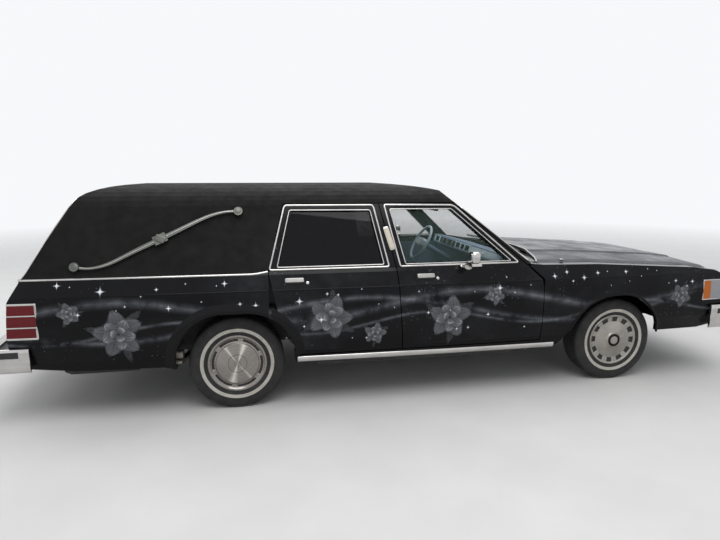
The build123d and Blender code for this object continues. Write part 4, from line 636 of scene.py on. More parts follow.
# Painted highlights of the rear covers: angle, width and strength of four rays that make a cross.
painted_highlight_rays = ((0.193, 0.040, 0.9), (0.345, 0.022, 0.7), (0.705, 0.050, 0.9), (0.860, 0.022, 0.5))
rear_cover_metal = cover_finish("rear_cover_metal", 0.20, 0.32, (0.25, 0.235, 0.215), (0.31, 0.29, 0.27),
                                painted_highlight_rays, ((0.0625, 0.0650), (0.0185, 0.0200)))
shader_of(rear_cover_metal).inputs["Anisotropic"].default_value = 0.7
shader_of(rear_cover_metal).inputs["Anisotropic Rotation"].default_value = 0.25
round_lines = node(rear_cover_metal, "ShaderNodeTangent", direction_type="UV_MAP")
Field(rear_cover_metal, round_lines.outputs["Tangent"]).into("Tangent")
print("cover finishes ready")

# %% Wheel covers
COVER_OUT = 0.0923
COVER_STEPS = 320
DISH = np.array([
    (0.0, 0.0230), (0.030, 0.0225), (0.036, 0.0190), (0.048, 0.0180), (0.053, 0.0215), (0.058, 0.0205),
    (0.061, 0.0115), (0.070, 0.0095), (0.147, -0.0055), (0.186, 0.0000), (0.191, 0.0035), (0.197, 0.0050),
    (0.200, 0.0040), (0.2015, 0.0005),
])
CROWN = np.array([
    (0.0, 0.0090), (0.062, 0.0085), (0.064, 0.0070), (0.067, 0.0080), (0.140, 0.0045), (0.144, 0.0030),
    (0.148, -0.0020), (0.155, -0.0050), (0.175, -0.0050), (0.180, -0.0030), (0.185, 0.0020), (0.189, 0.0045),
    (0.196, 0.0050), (0.200, 0.0040), (0.2015, 0.0005),
])


def front_cover_height(radius, angle):
    """Dish that falls to two thirds of the radius, a domed hub cap and 12 vents sunk 9 mm."""
    turn = (angle * 12 / (2 * np.pi) + 0.63) % 1.0
    vent = soft_band(turn, 0.215, 0.24, 0.76, 0.785) * soft_band(radius, 0.1480, 0.1505, 0.1825, 0.1850)
    lip = soft_band(turn, 0.14, 0.19, 0.81, 0.86) * soft_band(radius, 0.142, 0.147, 0.186, 0.189)
    return np.interp(radius, *DISH.T) + 0.0012 * lip - 0.009 * vent, vent


def rear_cover_height(radius, angle):
    """Flat crown, a sunk ring with six long slots, 8 mm deep, and a rounded rim."""
    turn = (angle * 6 / (2 * np.pi) + 0.65) % 1.0
    slot = soft_band(turn, 0.10, 0.125, 0.875, 0.90) * soft_band(radius, 0.1575, 0.1595, 0.1725, 0.1745)
    return np.interp(radius, *CROWN.T) - 0.008 * slot, slot


RADIUS_RUNS = ((0.0, 0.12, 25), (0.1215, 0.144, 16), (0.1450, 0.2015, 50))
FRONT_RADII = np.concatenate([np.linspace(*run) for run in RADIUS_RUNS])
BACK = np.array([(0.2010, -0.002), (0.1950, -0.006), (0.1600, -0.018), (0.0900, -0.012), (0.0, -0.004)])
COVERS = ((rear_cover_height, rear_cover_metal), (front_cover_height, front_cover_metal))
for (end, axle_x), (height, finish) in zip(AXLES, COVERS):
    angle = around(COVER_STEPS)[:, None]
    rise, painted_pit_shade = height(FRONT_RADII[None, :], angle)
    shape = (COVER_STEPS, len(FRONT_RADII) + len(BACK))
    radius = np.broadcast_to(np.concatenate([FRONT_RADII, BACK[:, 0]]), shape)
    rise = np.concatenate([rise, np.broadcast_to(BACK[:, 1], (COVER_STEPS, len(BACK)))], axis=1)
    # Vents and slots get u = -1, so the finish paints their shade there.
    turn = np.where(np.pad(painted_pit_shade, ((0, 0), (0, len(BACK)))) > 0.5, -1.0, angle / (2 * np.pi))
    points = turned_grid(radius, COVER_OUT + rise, angle, axle_x)
    add_piece(f"cover_{end}_{{}}", points, grid_quads(*shape, True), finish, f"wheel_{end}_{{}}",
              uv=(turn, radius), weld=True, replaces=f"wheel_{end}_{{}}")
print("covers ready")

# %% [markdown]
# Behind each cover sits the rim, a black steel well whose rolled edge shows as a bright ring
# between the cover and the tyre. Its closed profile is turned in the same way.

# %% Rims
RIM_PROFILE = np.array([
    (0.2030, -0.0920), (0.2030, -0.0860), (0.1900, -0.0840), (0.1900, -0.0600), (0.1720, -0.0400),
    (0.1720, 0.0300), (0.1900, 0.0600), (0.1900, 0.0840), (0.2030, 0.0860), (0.2040, 0.0900), (0.2025, 0.0925),
    (0.1990, 0.0920), (0.1960, 0.0900), (0.1840, 0.0800), (0.1840, 0.0600), (0.1660, 0.0320), (0.1500, 0.0220),
    (0.0750, 0.0450), (0.0302, 0.0450), (0.0302, 0.0120), (0.0750, 0.0120), (0.0750, 0.0380), (0.1500, 0.0150),
    (0.1660, 0.0150), (0.1660, -0.0380), (0.1840, -0.0620), (0.1840, -0.0840), (0.1960, -0.0920),
])
RIM_STEPS = 96
rim_steel = bright_metal("rim_steel", (0.16, 0.16, 0.16), 0.35, 0.6, scale=30.0, ripple=0.2)
for end, axle_x in AXLES:
    points = turned_grid(*RIM_PROFILE.T[:, None, :], around(RIM_STEPS)[:, None], axle_x)
    add_piece(f"rim_{end}_{{}}", points, grid_quads(RIM_STEPS, len(RIM_PROFILE), True, True), rim_steel,
              f"wheel_{end}_{{}}", sharp=30)
print("rims ready")

# %% [markdown]
# Chrome strips lie on the painted skin. In the side view each one is a line in x and z, and the
# skin gives its y, so a strip follows the bow and the lean of the body by itself. A small
# rounded section is carried along the line, square to the skin.

# %% The body's side skin
SIDE_ROWS = np.array([
    (0.200, 0.905), (0.345, 0.962), (0.507, 1.000), (0.700, 1.007), (0.850, 0.998), (0.950, 0.955),
    (0.972, 0.943), (1.405, 0.770), (1.440, 0.747), (1.470, 0.714), (1.497, 0.660), (1.518, 0.585),
    (1.535, 0.440), (1.545, 0.230), (1.548, 0.0),
])
BOW_RADIUS = 52.0


def skin(x, z):
    """Half width at a place in the side view: width of the section at that height, less x squared
    over twice the radius of the bow."""
    return np.interp(z, *SIDE_ROWS.T) - x**2 / (2 * BOW_RADIUS)


def skin_normal(x, z):
    """Outward direction of the skin, from its fall along x and along z over 20 mm."""
    fall_x = (skin(x + 0.01, z) - skin(x - 0.01, z)) / 0.02
    fall_z = (skin(x, z + 0.01) - skin(x, z - 0.01)) / 0.02
    normal = np.stack([-fall_x, np.ones_like(x), -fall_z], -1)
    return normal / np.linalg.norm(normal, axis=-1, keepdims=True)


def on_side(x, z, lift=0.0):
    """Places on the left skin, lifted by so much."""
    return np.stack([x, skin(x, z), z], -1) + lift * skin_normal(x, z)


def reach_of(line):
    """Distance along a line from its start to each of its points."""
    return np.concatenate([[0.0], np.cumsum(np.linalg.norm(np.diff(line, axis=0), axis=1))])


def rounded_line(corners, radius, closed=False, spacing=0.02):
    """Points along straight runs joined by soft corners. Each corner is the curve
    (1-t)^2 A + 2t(1-t) B + t^2 C between two points a radius away from it."""
    corners = np.asarray(corners, float)
    count = len(corners)
    radii = np.broadcast_to(radius, count)
    line = []
    t = np.linspace(0.0, 1.0, 9)[:, None]
    for k in range(count):
        here, before, after = corners[k], corners[k - 1], corners[(k + 1) % count]
        if not closed and k in (0, count - 1):
            line.append(here[None, :])
            continue
        a = here + (before - here) * min(0.5, radii[k] / np.linalg.norm(before - here))
        c = here + (after - here) * min(0.5, radii[k] / np.linalg.norm(after - here))
        line.append((1 - t) ** 2 * a + 2 * t * (1 - t) * here + t**2 * c)
    line = np.concatenate(line)
    if closed:
        line = np.concatenate([line, line[:1]])
    line = line[np.concatenate([[True], np.linalg.norm(np.diff(line, axis=0), axis=1) > 1e-6])]
    reach = reach_of(line)
    marks = np.union1d(reach, np.linspace(0.0, reach[-1], max(2, int(reach[-1] / spacing))))
    marks = marks[np.concatenate([[True], np.diff(marks) > 1e-4])]
    dense = np.stack([np.interp(marks, reach, line[:, axis]) for axis in range(line.shape[1])], -1)
    return dense[:-1] if closed else dense


def carried(path, normal, section, closed=False):
    """Rings of a section carried along a path: point = P + b * B + n * N, with N the surface's
    normal, B square to N and to the path."""
    ahead = np.roll(path, -1, 0) - np.roll(path, 1, 0)
    if not closed:
        ahead[0], ahead[-1] = path[1] - path[0], path[-1] - path[-2]
    ahead /= np.linalg.norm(ahead, axis=1, keepdims=True)
    across = np.cross(normal, ahead)
    across /= np.linalg.norm(across, axis=1, keepdims=True)
    return path[:, None] + section[None, :, :1] * across[:, None] + section[None, :, 1:] * normal[:, None]


def half_round(width, height, sink=0.001, steps=10):
    """Section of a trim strip: half an ellipse, b = w/2 cos a and n = h sin a, with a foot sunk a little."""
    a = np.linspace(0.0, np.pi, steps)
    dome = np.stack([width / 2 * np.cos(a), height * np.sin(a)], -1)
    return np.concatenate([[[width / 2, -sink]], dome, [[-width / 2, -sink]]])


def skin_strip(name, corners, radius, section, body="root", closed=False, finish=chrome):
    """Strip along a side-view line, on both sides of the body."""
    x, z = rounded_line(corners, radius, closed).T
    rings = carried(on_side(x, z), skin_normal(x, z), section, closed)
    tube_mesh(f"{name}_{{}}", rings, finish, body, closed)


print("skin tools ready")

# %% [markdown]
# The windows of the side doors have two bright lines: one round the door's upper frame and one
# round the pane, with gloss black between. A low strip runs along the edge of the vinyl, and a
# broad one covers the sill.

# %% Bright strips
REAR_DOORS = "door_rear_{}"
FRONT_DOORS = "door_front_{}"
REAR_FRAME = [(-0.843, 1.403), (-0.217, 1.400), (-0.134, 0.980), (-0.961, 0.980)]
REAR_PANE = [(-0.810, 1.370), (-0.241, 1.366), (-0.169, 0.996), (-0.909, 0.996)]
FRONT_FRAME = [(-0.136, 1.401), (0.385, 1.394), (0.846, 0.980), (-0.052, 0.980)]
FRONT_PANE = [(-0.097, 1.371), (0.366, 1.368), (0.786, 0.994), (-0.013, 0.994)]
FRAME_SECTION = half_round(0.013, 0.006)
PANE_SECTION = half_round(0.008, 0.004)
skin_strip("rear_door_bright", REAR_FRAME, (0.022, 0.022, 0.018, 0.018), FRAME_SECTION, REAR_DOORS, True)
skin_strip("rear_pane_bright", REAR_PANE, 0.014, PANE_SECTION, REAR_DOORS, True)
skin_strip("front_door_bright", FRONT_FRAME, (0.014, 0.03, 0.022, 0.014), FRAME_SECTION, FRONT_DOORS, True)
skin_strip("front_pane_bright", FRONT_PANE, 0.012, PANE_SECTION, FRONT_DOORS, True)
skin_strip("belt_bright", [(-2.45, 0.957), (-1.056, 0.957), (-0.972, 0.971)], 0.05, half_round(0.014, 0.006))
skin_strip("sill_bright", [(-0.785, 0.354), (1.150, 0.342)], 0.0, half_round(0.042, 0.010, 0.003, 14))
print("strips ready")

# %% [markdown]
# Many small fittings are soft-edged blocks: handles, lamps, plates, bosses. One formula makes them
# all. A superellipsoid is a ball whose sines and cosines are raised to a power: near 1 it is round,
# near 0.2 it is a box with rounded edges.

# %% Soft-edged block
UPRIGHT = ((1, 0, 0), (0, 1, 0), (0, 0, 1))
REARWARD = ((0, 1, 0), (0, 0, 1), (-1, 0, 0))


def power_wave(wave, power):
    """Sign of the wave times its size raised to the power."""
    return np.sign(wave) * np.abs(wave) ** power


def soft_block(name, centre, half, axes, body="root", finish=chrome, edge=0.25, plan=0.25, rows=20,
               columns=40, **more):
    """Superellipsoid: centre + a C(v) C(u) A + b C(v) S(u) B + c S(v) N, where C and S are powered
    cosine and sine, u goes round and v goes from pole to pole."""
    v = np.linspace(-np.pi / 2, np.pi / 2, rows)[None, :, None]
    u = around(columns)[:, None, None]
    along, across, out = (np.asarray(axis, float) / np.linalg.norm(axis) for axis in axes)
    ring = power_wave(np.cos(v), edge)
    ring[:, [0, -1]] = 0.0
    points = (np.asarray(centre, float) + half[0] * ring * power_wave(np.cos(u), plan) * along
              + half[1] * ring * power_wave(np.sin(u), plan) * across
              + half[2] * power_wave(np.sin(v), edge) * out)
    add_piece(name, points, grid_quads(columns, rows, True), finish, body, weld=True, sharp=50, **more)


def on_skin(x, z, lift=0.0):
    """Place on the left skin, with the directions along the car, up the skin and outward."""
    normal = skin_normal(np.array([x]), np.array([z]))[0]
    along = np.cross((0.0, 0.0, 1.0), -normal)
    along /= np.linalg.norm(along)
    return np.array([x, skin(x, z), z]) + lift * normal, (along, np.cross(normal, along), normal)


print("soft block ready")

# %% [markdown]
# Trim that goes round a corner of the car needs its own surface direction at each point. So a row
# holds six numbers, place and outward direction, and both are smoothed together.

# %% Strips with their own directions


def flat_section(width, low, high, round_off=0.002):
    """Section of a flat strip between two heights, its outer corners cut by a small bevel."""
    half = width / 2
    return np.array([(half, low), (half, high - round_off), (half - round_off, high),
                     (-half + round_off, high), (-half, high - round_off), (-half, low)])


def guided_strip(name, rows, radius, section, closed=False, body="root", finish=chrome, sharp=35, **more):
    """Strip through rows of place and outward direction."""
    line = rounded_line(rows, radius, closed)
    normal = line[:, 3:] / np.linalg.norm(line[:, 3:], axis=1, keepdims=True)
    tube_mesh(name, carried(line[:, :3], normal, section, closed), finish, body, closed, sharp, **more)


TAIL_FACE = np.array([
    (0.560, -2.593), (0.820, -2.5755), (0.880, -2.5447), (0.943, -2.5100), (0.9665, -2.5100),
    (0.967, -2.4965), (1.200, -2.3647), (1.400, -2.2391), (1.440, -2.2091), (1.467, -2.1880),
])
NOSE_FACE = np.array([
    (0.600, 2.6250), (0.760, 2.6376), (0.800, 2.6345), (0.820, 2.6280), (0.840, 2.5983), (0.860, 2.5567),
])


def tail_x(z):
    """Rear face of the body at a height."""
    return np.interp(z, *TAIL_FACE.T)


def nose_x(z):
    """Front face of the nose at a height."""
    return np.interp(z, *NOSE_FACE.T)


print("guided strips ready")

# %% [markdown]
# A tail lamp on this car is three deep red lenses in a chrome frame that wraps round the corner,
# with two bright bars between them.

# %% Tail lamp frames and bars
LAMP_FRONT_X = -2.412
LAMP_INNER_Y = 0.745


def lamp_rows(z, corner_x):
    """Rows at one height: along the rear face, round the corner and forward along the side."""
    return [(tail_x(z), LAMP_INNER_Y, z, -1.0, 0.05, 0.0),
            (tail_x(z), skin(corner_x, z), z, -0.7, 0.7, 0.0),
            (LAMP_FRONT_X, skin(LAMP_FRONT_X, z), z, 0.0, 1.0, 0.0)]


lamp_loop = lamp_rows(0.813, -2.58) + lamp_rows(0.592, -2.59)[::-1]
guided_strip("tail_frame_{}", lamp_loop, 0.012, half_round(0.014, 0.004, 0.002), True)
for count, z in enumerate((0.6647, 0.7403)):
    guided_strip(f"tail_bar_{count}_{{}}", lamp_rows(z, -2.58), 0.012, half_round(0.009, 0.003, 0.004))
print("tail lamp trim ready")

# %% [markdown]
# Door handles, the cream lamps on the pillars between the doors and the mirror glasses are soft
# blocks. Each stands on the door's skin and turns with it.

# %% Door handles, pillar lamps and mirror glasses
for end, x in (("rear", -0.797), ("front", 0.122)):
    body = f"door_{end}_{{}}"
    pocket, axes = on_skin(x, 0.908, 0.003)
    handle, _ = on_skin(x, 0.909, 0.013)
    lock, _ = on_skin(x + 0.088, 0.893, 0.001)
    soft_block(f"handle_pocket_{end}_{{}}", pocket, (0.066, 0.020, 0.005), axes, body, rubber_trim)
    soft_block(f"handle_{end}_{{}}", handle, (0.063, 0.015, 0.007), axes, body, brushed_metal)
    soft_block(f"lock_{end}_{{}}", lock, (0.011, 0.011, 0.004), axes, body, chrome, 0.5, 1.0)

lamp_base, axes = on_skin(-0.121, 1.168, 0.006)
lamp_front, _ = on_skin(-0.121, 1.168, 0.013)
tilt = np.array([0.036, 0.0, -0.163])
tilt = tilt - axes[2] * np.dot(tilt, axes[2])
lamp_axes = (tilt, np.cross(axes[2], tilt), axes[2])
soft_block("pillar_lamp_frame_{}", lamp_base, (0.088, 0.0205, 0.008), lamp_axes, REAR_DOORS, chrome, 0.3, 0.3)
soft_block("pillar_lamp_lens_{}", lamp_front, (0.081, 0.0165, 0.008), lamp_axes, REAR_DOORS, cream_lens,
           0.5, 0.35)
mirror_face = bright_metal("mirror_face", (0.85, 0.87, 0.88), 0.01, 0.05, ripple=0.005)
soft_block("mirror_glass_{}", (0.4165, 1.056, 1.045), (0.034, 0.030, 0.004), REARWARD, FRONT_DOORS,
           mirror_face, 0.2, 0.3)
print("door fittings ready")

# %% [markdown]
# The landau bars keep their CAD form, in a metal darkened to paint in the reflection of a dim room.
# A raised rib along each bar, in a brighter copy of that metal as a painted highlight, domed caps on
# the end bosses and a framed plate on the middle boss give them the look of cast and polished metal.

# %% Landau bar details
BAR_STATIONS = np.array([
    (-0.981, 1.026), (-0.900, 1.016), (-0.820, 1.027), (-0.655, 1.098), (-0.462, 1.188), (-0.285, 1.272),
    (-0.130, 1.338), (-0.045, 1.357), (0.040, 1.360),
])
BAR_NORMAL = np.array([-0.032, 1.0, 0.4]) / np.linalg.norm([-0.032, 1.0, 0.4])
BAR_ALONG = np.array([1.0, 0.032, 0.0])
BAR_MIDDLE = np.array([-1.657, 0.829, 1.188])
PLATE_TURN = math.radians(25)


def bar_place(x, z, lift):
    """Place on the bar's own plane: y solves normal . (P - middle) = 0, then it is lifted."""
    slant = BAR_NORMAL[0] * (x - BAR_MIDDLE[0]) + BAR_NORMAL[2] * (z - BAR_MIDDLE[2])
    y = BAR_MIDDLE[1] - slant / BAR_NORMAL[1]
    return np.stack(np.broadcast_arrays(x, y, z), -1) + lift * BAR_NORMAL


def smooth_height(x, z, marks):
    """Cubic through the stations: z and slope of each end of a run, blended by powers of the share."""
    slope = np.gradient(z, x)
    left = np.minimum(np.floor(marks).astype(int), len(x) - 2)
    right = left + 1
    share = marks - left
    gap = x[right] - x[left]
    return ((2 * share**3 - 3 * share**2 + 1) * z[left]
            + (share**3 - 2 * share**2 + share) * gap * slope[left]
            + (-2 * share**3 + 3 * share**2) * z[right]
            + (share**3 - share**2) * gap * slope[right])


bar_x, bar_z = REAR_AXLE_X + BAR_STATIONS[:, 0], BAR_STATIONS[:, 1]
marks = np.linspace(0, len(bar_x) - 1, 90)
rib_x = np.interp(marks, np.arange(len(bar_x)), bar_x)
path = bar_place(rib_x, smooth_height(bar_x, bar_z, marks), 0.0238)[4:-4]
rings = carried(path, np.broadcast_to(BAR_NORMAL, path.shape), half_round(0.009, 0.0035))
tube_mesh("landau_rib_{}", rings, rib_metal_highlight)
axes = (BAR_ALONG, np.cross(BAR_NORMAL, BAR_ALONG), BAR_NORMAL)
for end, k in (("low", 0), ("high", -1)):
    cap = bar_place(bar_x[k], bar_z[k], 0.028)
    soft_block(f"landau_cap_{end}_{{}}", cap, (0.0205, 0.0205, 0.0045), axes, "root", bar_metal_dark_reflection, 0.8, 1.0)
turned_axes = (math.cos(PLATE_TURN) * axes[0] + math.sin(PLATE_TURN) * axes[1],
               math.cos(PLATE_TURN) * axes[1] - math.sin(PLATE_TURN) * axes[0], BAR_NORMAL)
soft_block("landau_plate_{}", BAR_MIDDLE + 0.030 * BAR_NORMAL, (0.034, 0.023, 0.006), turned_axes, "root",
           bar_metal_dark_reflection, 0.3, 0.35)
print("landau details ready")

# %% [markdown]
# Bright metal also frames the windshield and edges the hood's curved rear lip. The windshield is
# a slice of a cylinder, so its frame is worked out on the slope: so far up, so far sideways, and
# sunk by the curve's sagitta.

# %% Windshield frame, hood lip and wipers
SCREEN_BASE = np.array([1.130, 0.0, 0.975])
SCREEN_UP = np.array([-0.8086, 0.0, 0.5884])
SCREEN_OUT = np.array([0.5884, 0.0, 0.8086])
SCREEN_RADIUS = 3.8
LIP_HALF = 0.82675
LIP_BOW = 0.180


def screen_rows(y, up, lift=0.0):
    """Place and outward direction on the windshield, y sideways and up the slope: the surface sinks
    by R - sqrt(R^2 - y^2)."""
    sag = SCREEN_RADIUS - np.sqrt(SCREEN_RADIUS**2 - y**2)
    place_there = SCREEN_BASE + up[:, None] * SCREEN_UP - (sag - lift)[:, None] * SCREEN_OUT
    place_there[:, 1] += y
    out = SCREEN_OUT + np.stack([0 * y, y / SCREEN_RADIUS, 0 * y], -1)
    return np.concatenate([place_there, out], axis=1)


top_y = np.linspace(-0.668, 0.668, 15)
low_y = np.linspace(0.880, -0.880, 21)
frame_up = np.concatenate([0.786 - 0.025 * (top_y / 0.668) ** 2, 0.010 + 0.138 * (low_y / 0.880) ** 2])
frame_rows = screen_rows(np.concatenate([top_y, low_y]), frame_up)
guided_strip("windshield_bright", frame_rows, 0.03, half_round(0.013, 0.006, 0.004), True)

lip_y = np.linspace(-0.822, 0.822, 41)
lip_radius = (LIP_BOW**2 + LIP_HALF**2) / (2 * LIP_BOW)
lip_x = 1.2255 - (lip_radius - np.sqrt(lip_radius**2 - lip_y**2))
crown = np.interp(np.abs(lip_y), [0.0, 0.400, 0.430, 0.770, 0.830], [0.040, 0.040, 0.030, 0.014, 0.0])
lip_z = 0.957 - (lip_x - 1.040) * 0.0217 + crown
lip_rows = np.stack([lip_x, lip_y, lip_z, -0.3 + 0 * lip_y, 0 * lip_y, 1 + 0 * lip_y], -1)
guided_strip("hood_lip_bright", lip_rows, 0.02, half_round(0.012, 0.006, 0.002), body="hood")

for count, (y_start, y_end) in enumerate(((-0.10, -0.62), (0.50, -0.02))):
    y = np.linspace(y_start, y_end, 24)
    blade = screen_rows(y, 0.075 + 0.10 * ((y + 0.06) / 0.88) ** 2, 0.012)
    guided_strip(f"wiper_blade_{count}", blade, 0.01, flat_section(0.010, -0.009, 0.004), finish=rubber_trim)
    y = np.linspace(y_start + 0.02, (y_start + y_end) / 2, 12)
    arm = screen_rows(y, np.linspace(-0.02, 0.085, 12), 0.022)
    guided_strip(f"wiper_arm_{count}", arm, 0.01, flat_section(0.012, -0.004, 0.003), finish=frame_metal,
                 slot="black_plastic")
print("windshield frame, hood lip and wipers ready")

# %% [markdown]
# The bumpers are chromed steel channels that wrap round the corners, with a rubber strip near the
# top edge. Each is one section carried along the bumper's plan, and it stands where the plain CAD
# bar stands. A ledge and a dark filler close the gap to the body.

# %% Bumpers


def bumper_line(end_x, side_x, half, bow, z, start=0.0):
    """Plan line of a bumper at one height: along one side, round the corner, across with
    x = end - bow * (y / half)^2, and back. start leaves out the first part of each side."""
    toward = np.sign(end_x)
    corner_x = end_x - toward * bow
    y = np.linspace(half - 0.075, -half + 0.075, 25)
    across = [(end_x - toward * bow * (at_y / half) ** 2, at_y, z, toward, 0.0, 0.0) for at_y in y]
    near = [(side_x + toward * start, half, z, 0, 1, 0),
            (corner_x - toward * 0.075, half, z, 0, 1, 0),
            (corner_x - toward * 0.012, half - 0.010, z, toward * 0.7, 0.7, 0)]
    far = [(x, -at_y, z, out_x, -out_y, 0) for x, at_y, z, out_x, out_y, _ in reversed(near)]
    return near + across + far


def bumper(name, end_x, side_x, half, bow, low, high, strip_z):
    """Channel, rubber strip, top ledge and filler of one bumper."""
    toward = np.sign(end_x)
    end_x = end_x - toward * 0.0027
    middle, tall = (low + high) / 2, (high - low) / 2
    face = np.array([
        (tall, -0.020), (tall, -0.009), (tall - 0.003, -0.003), (tall - 0.009, 0.0), (0.30 * tall, -0.0005),
        (0.1 * tall, -0.004), (-0.1 * tall, -0.004), (-0.3 * tall, -0.001), (-0.62 * tall, -0.001),
        (-0.84 * tall, -0.006), (-0.96 * tall, -0.013), (-tall, -0.020),
    ])
    guided_strip(f"{name}_channel", bumper_line(end_x, side_x, half, bow, middle), 0.03, face * (-toward, 1.0),
                 sharp=50, replaces=name)
    guided_strip(f"{name}_strip", bumper_line(end_x, side_x, half, bow, strip_z, 0.062), 0.03,
                 flat_section(0.042, -0.006, 0.0024, 0.003), finish=rubber_trim)
    y = np.linspace(-half + 0.082, half - 0.082, 41)[:, None]
    outer = end_x - toward * (bow * (y / half) ** 2 + 0.016)
    ledge = np.array([(0.0, 0.0), (-0.052, 0.002), (-0.054, 0.0), (-0.052, -0.003), (0.0, -0.003)])
    rings = np.broadcast_arrays(outer + toward * ledge[:, 0], y, high - 0.001 + ledge[:, 1])
    tube_mesh(f"{name}_ledge", np.stack(rings, -1), chrome, sharp=50)
    body_x = (tail_x(high) if toward < 0 else nose_x(high - 0.02)) + toward * 0.001
    share = np.linspace(0.0, 1.0, 9)[None, :]
    upper_x = body_x + (outer - toward * 0.050 - body_x) * share
    upper_z = high - 0.012 - 0.008 * np.sin(np.pi * share) ** 0.5 + 0 * upper_x
    upper, lower = (np.stack(np.broadcast_arrays(upper_x, y, upper_z - drop), -1) for drop in (0.0, 0.006))
    tube_mesh(f"{name}_filler", np.concatenate([upper, lower[:, ::-1]], axis=1), rubber_trim, sharp=50)


bumper("rear_bumper", -2.7815, -2.465, 0.972, 0.045, 0.375, 0.534, 0.4970)
bumper("front_bumper", 2.7815, 2.505, 0.975, 0.055, 0.400, 0.590, 0.5400)
print("bumpers ready")

# %% [markdown]
# The rear door is dressed with a bright frame round its pane, a strip that carries the belt line
# across, a pull handle, a lock and a blank plate in its pocket.

# %% Rear door dressing
REAR_OUT = (-0.857, 0.0, 0.515)
BELT_Z = 0.957
BELT_REAR_X = -2.510
PLATE_X = -2.5800
BELT_SECTION = half_round(0.014, 0.006)

pane_corners = ((0.606, 1.004), (0.486, 1.404), (-0.486, 1.404), (-0.606, 1.004))
pane_loop = [(tail_x(z), y, z, *REAR_OUT) for y, z in pane_corners]
guided_strip("rear_pane_frame", pane_loop, 0.03, half_round(0.016, 0.006), True, "rear_door")
belt_rows = [(BELT_REAR_X, y, BELT_Z, -1.0, 0.0, 0.0) for y in (0.700, -0.700)]
guided_strip("rear_door_belt", belt_rows, 0, BELT_SECTION, body="rear_door")
plate_corners = ((0.157, 0.664), (0.157, 0.768), (-0.157, 0.768), (-0.157, 0.664))
plate_rows = [(PLATE_X, y, z, -1.0, 0.0, 0.0) for y, z in plate_corners]
guided_strip("plate_rim", plate_rows, 0.02, half_round(0.006, 0.0025), True, "rear_door", satin_metal)
blank_white = moulded("blank_plate", (0.52, 0.52, 0.50), 0.4, 30.0, 0.05)
for name, centre, half, finish, edge, plan in (
    ("rear_handle_cup", (-2.5775, 0.0, 0.828), (0.075, 0.024, 0.006), rubber_trim, 0.25, 0.3),
    ("rear_handle", (-2.586, 0.0, 0.834), (0.066, 0.012, 0.007), brushed_metal, 0.3, 0.25),
    ("rear_lock", (-2.577, 0.115, 0.828), (0.012, 0.012, 0.005), chrome, 0.5, 1.0),
    ("plate_lamp", (-2.586, 0.0, 0.790), (0.095, 0.009, 0.010), chrome, 0.3, 0.2),
    ("plate_blank", (-2.5785, 0.0, 0.716), (0.160, 0.055, 0.0020), blank_white, 0.15, 0.12),
):
    soft_block(name, centre, half, REARWARD, "rear_door", finish, edge, plan)

slope_z = np.concatenate([[BELT_Z], np.linspace(1.0, 1.40, 12), [1.44, 1.462]])
slope_x = tail_x(slope_z)
slope_y = skin(slope_x, slope_z) - 0.002
slope_rows = np.broadcast_arrays(slope_x + 0.003, slope_y, slope_z, -0.66, 0.72, 0.2)
guided_strip("slope_edge_{}", np.stack(slope_rows, -1), 0.02, half_round(0.009, 0.004, 0.003))
corner_rows = [(-2.45, skin(-2.45, BELT_Z), BELT_Z, 0.0, 0.93, 0.37),
               (BELT_REAR_X, skin(-2.5, BELT_Z), BELT_Z, -0.7, 0.65, 0.3),
               (BELT_REAR_X, 0.715, BELT_Z, -1.0, 0.0, 0.0)]
guided_strip("belt_corner_{}", corner_rows, 0.03, half_round(0.014, 0.006, 0.002))
print("rear door ready")

# %% [markdown]
# At the nose each pair of headlamps sits in a bright bezel on black, and the corner lamps are
# amber behind and clear in front. The grille keeps its CAD bars and gets a bright outer line.

# %% Nose dressing
LAMP_LOW, LAMP_HIGH = 0.632, 0.788
CORNER_LAMP_X = 2.437


def nose_loop(name, y_low, y_high, z_low, z_high, section, radius, finish=chrome):
    """Bright loop on the nose round a rectangle."""
    corners = ((y_low, z_low), (y_high, z_low), (y_high, z_high), (y_low, z_high))
    rows = [(nose_x(z) + 0.0005, y, z, 1.0, 0.0, -0.08) for y, z in corners]
    guided_strip(name, rows, radius, section, True, finish=finish, slot="chrome_trim")


for which, y_low, y_high in (("inner", 0.4745, 0.6250), ("outer", 0.6335, 0.7840)):
    bezel = half_round(0.010, 0.0045, 0.006)
    nose_loop(f"lamp_bezel_{which}_{{}}", y_low, y_high, 0.634, 0.786, bezel, 0.016)
surround = flat_section(0.010, -0.002, 0.0016, 0.001)
nose_loop("lamp_surround_{}", 0.462, 0.796, 0.622, 0.798, surround, 0.008, rubber_trim)
nose_loop("grille_frame", -0.459, 0.459, 0.611, 0.803, half_round(0.012, 0.004, 0.003), 0.012)
corner_rows = [
    (nose_x(LAMP_LOW), 0.803, LAMP_LOW, 1.0, 0.0, 0.0),
    (nose_x(LAMP_HIGH), 0.803, LAMP_HIGH, 1.0, 0.0, 0.0),
    (2.632, skin(2.6, LAMP_HIGH) - 0.004, LAMP_HIGH, 0.7, 0.7, 0),
    (CORNER_LAMP_X, skin(CORNER_LAMP_X, LAMP_HIGH), LAMP_HIGH, 0, 1, 0),
    (CORNER_LAMP_X, skin(CORNER_LAMP_X, LAMP_LOW), LAMP_LOW, 0, 1, 0),
    (2.622, skin(2.6, LAMP_LOW) - 0.004, LAMP_LOW, 0.7, 0.7, 0),
]
guided_strip("corner_lamp_frame_{}", corner_rows, 0.010, half_round(0.009, 0.003, 0.003), True)
for count, z in enumerate((0.676, 0.739)):
    rows = [(2.6285, y, z, 1.0, 0.0, 0.0) for y in (-0.437, 0.437)]
    guided_strip(f"grille_cross_{count}", rows, 0, half_round(0.007, 0.004, 0.006), finish=satin_metal)
print("nose ready")

# %% [markdown]
# Wheel openings have a rolled lip that catches the light, and the rear ones a broad soft flare.
# A shallow crease runs along the whole side. They are body-coloured strips that lie on the skin,
# one for each panel they cross.

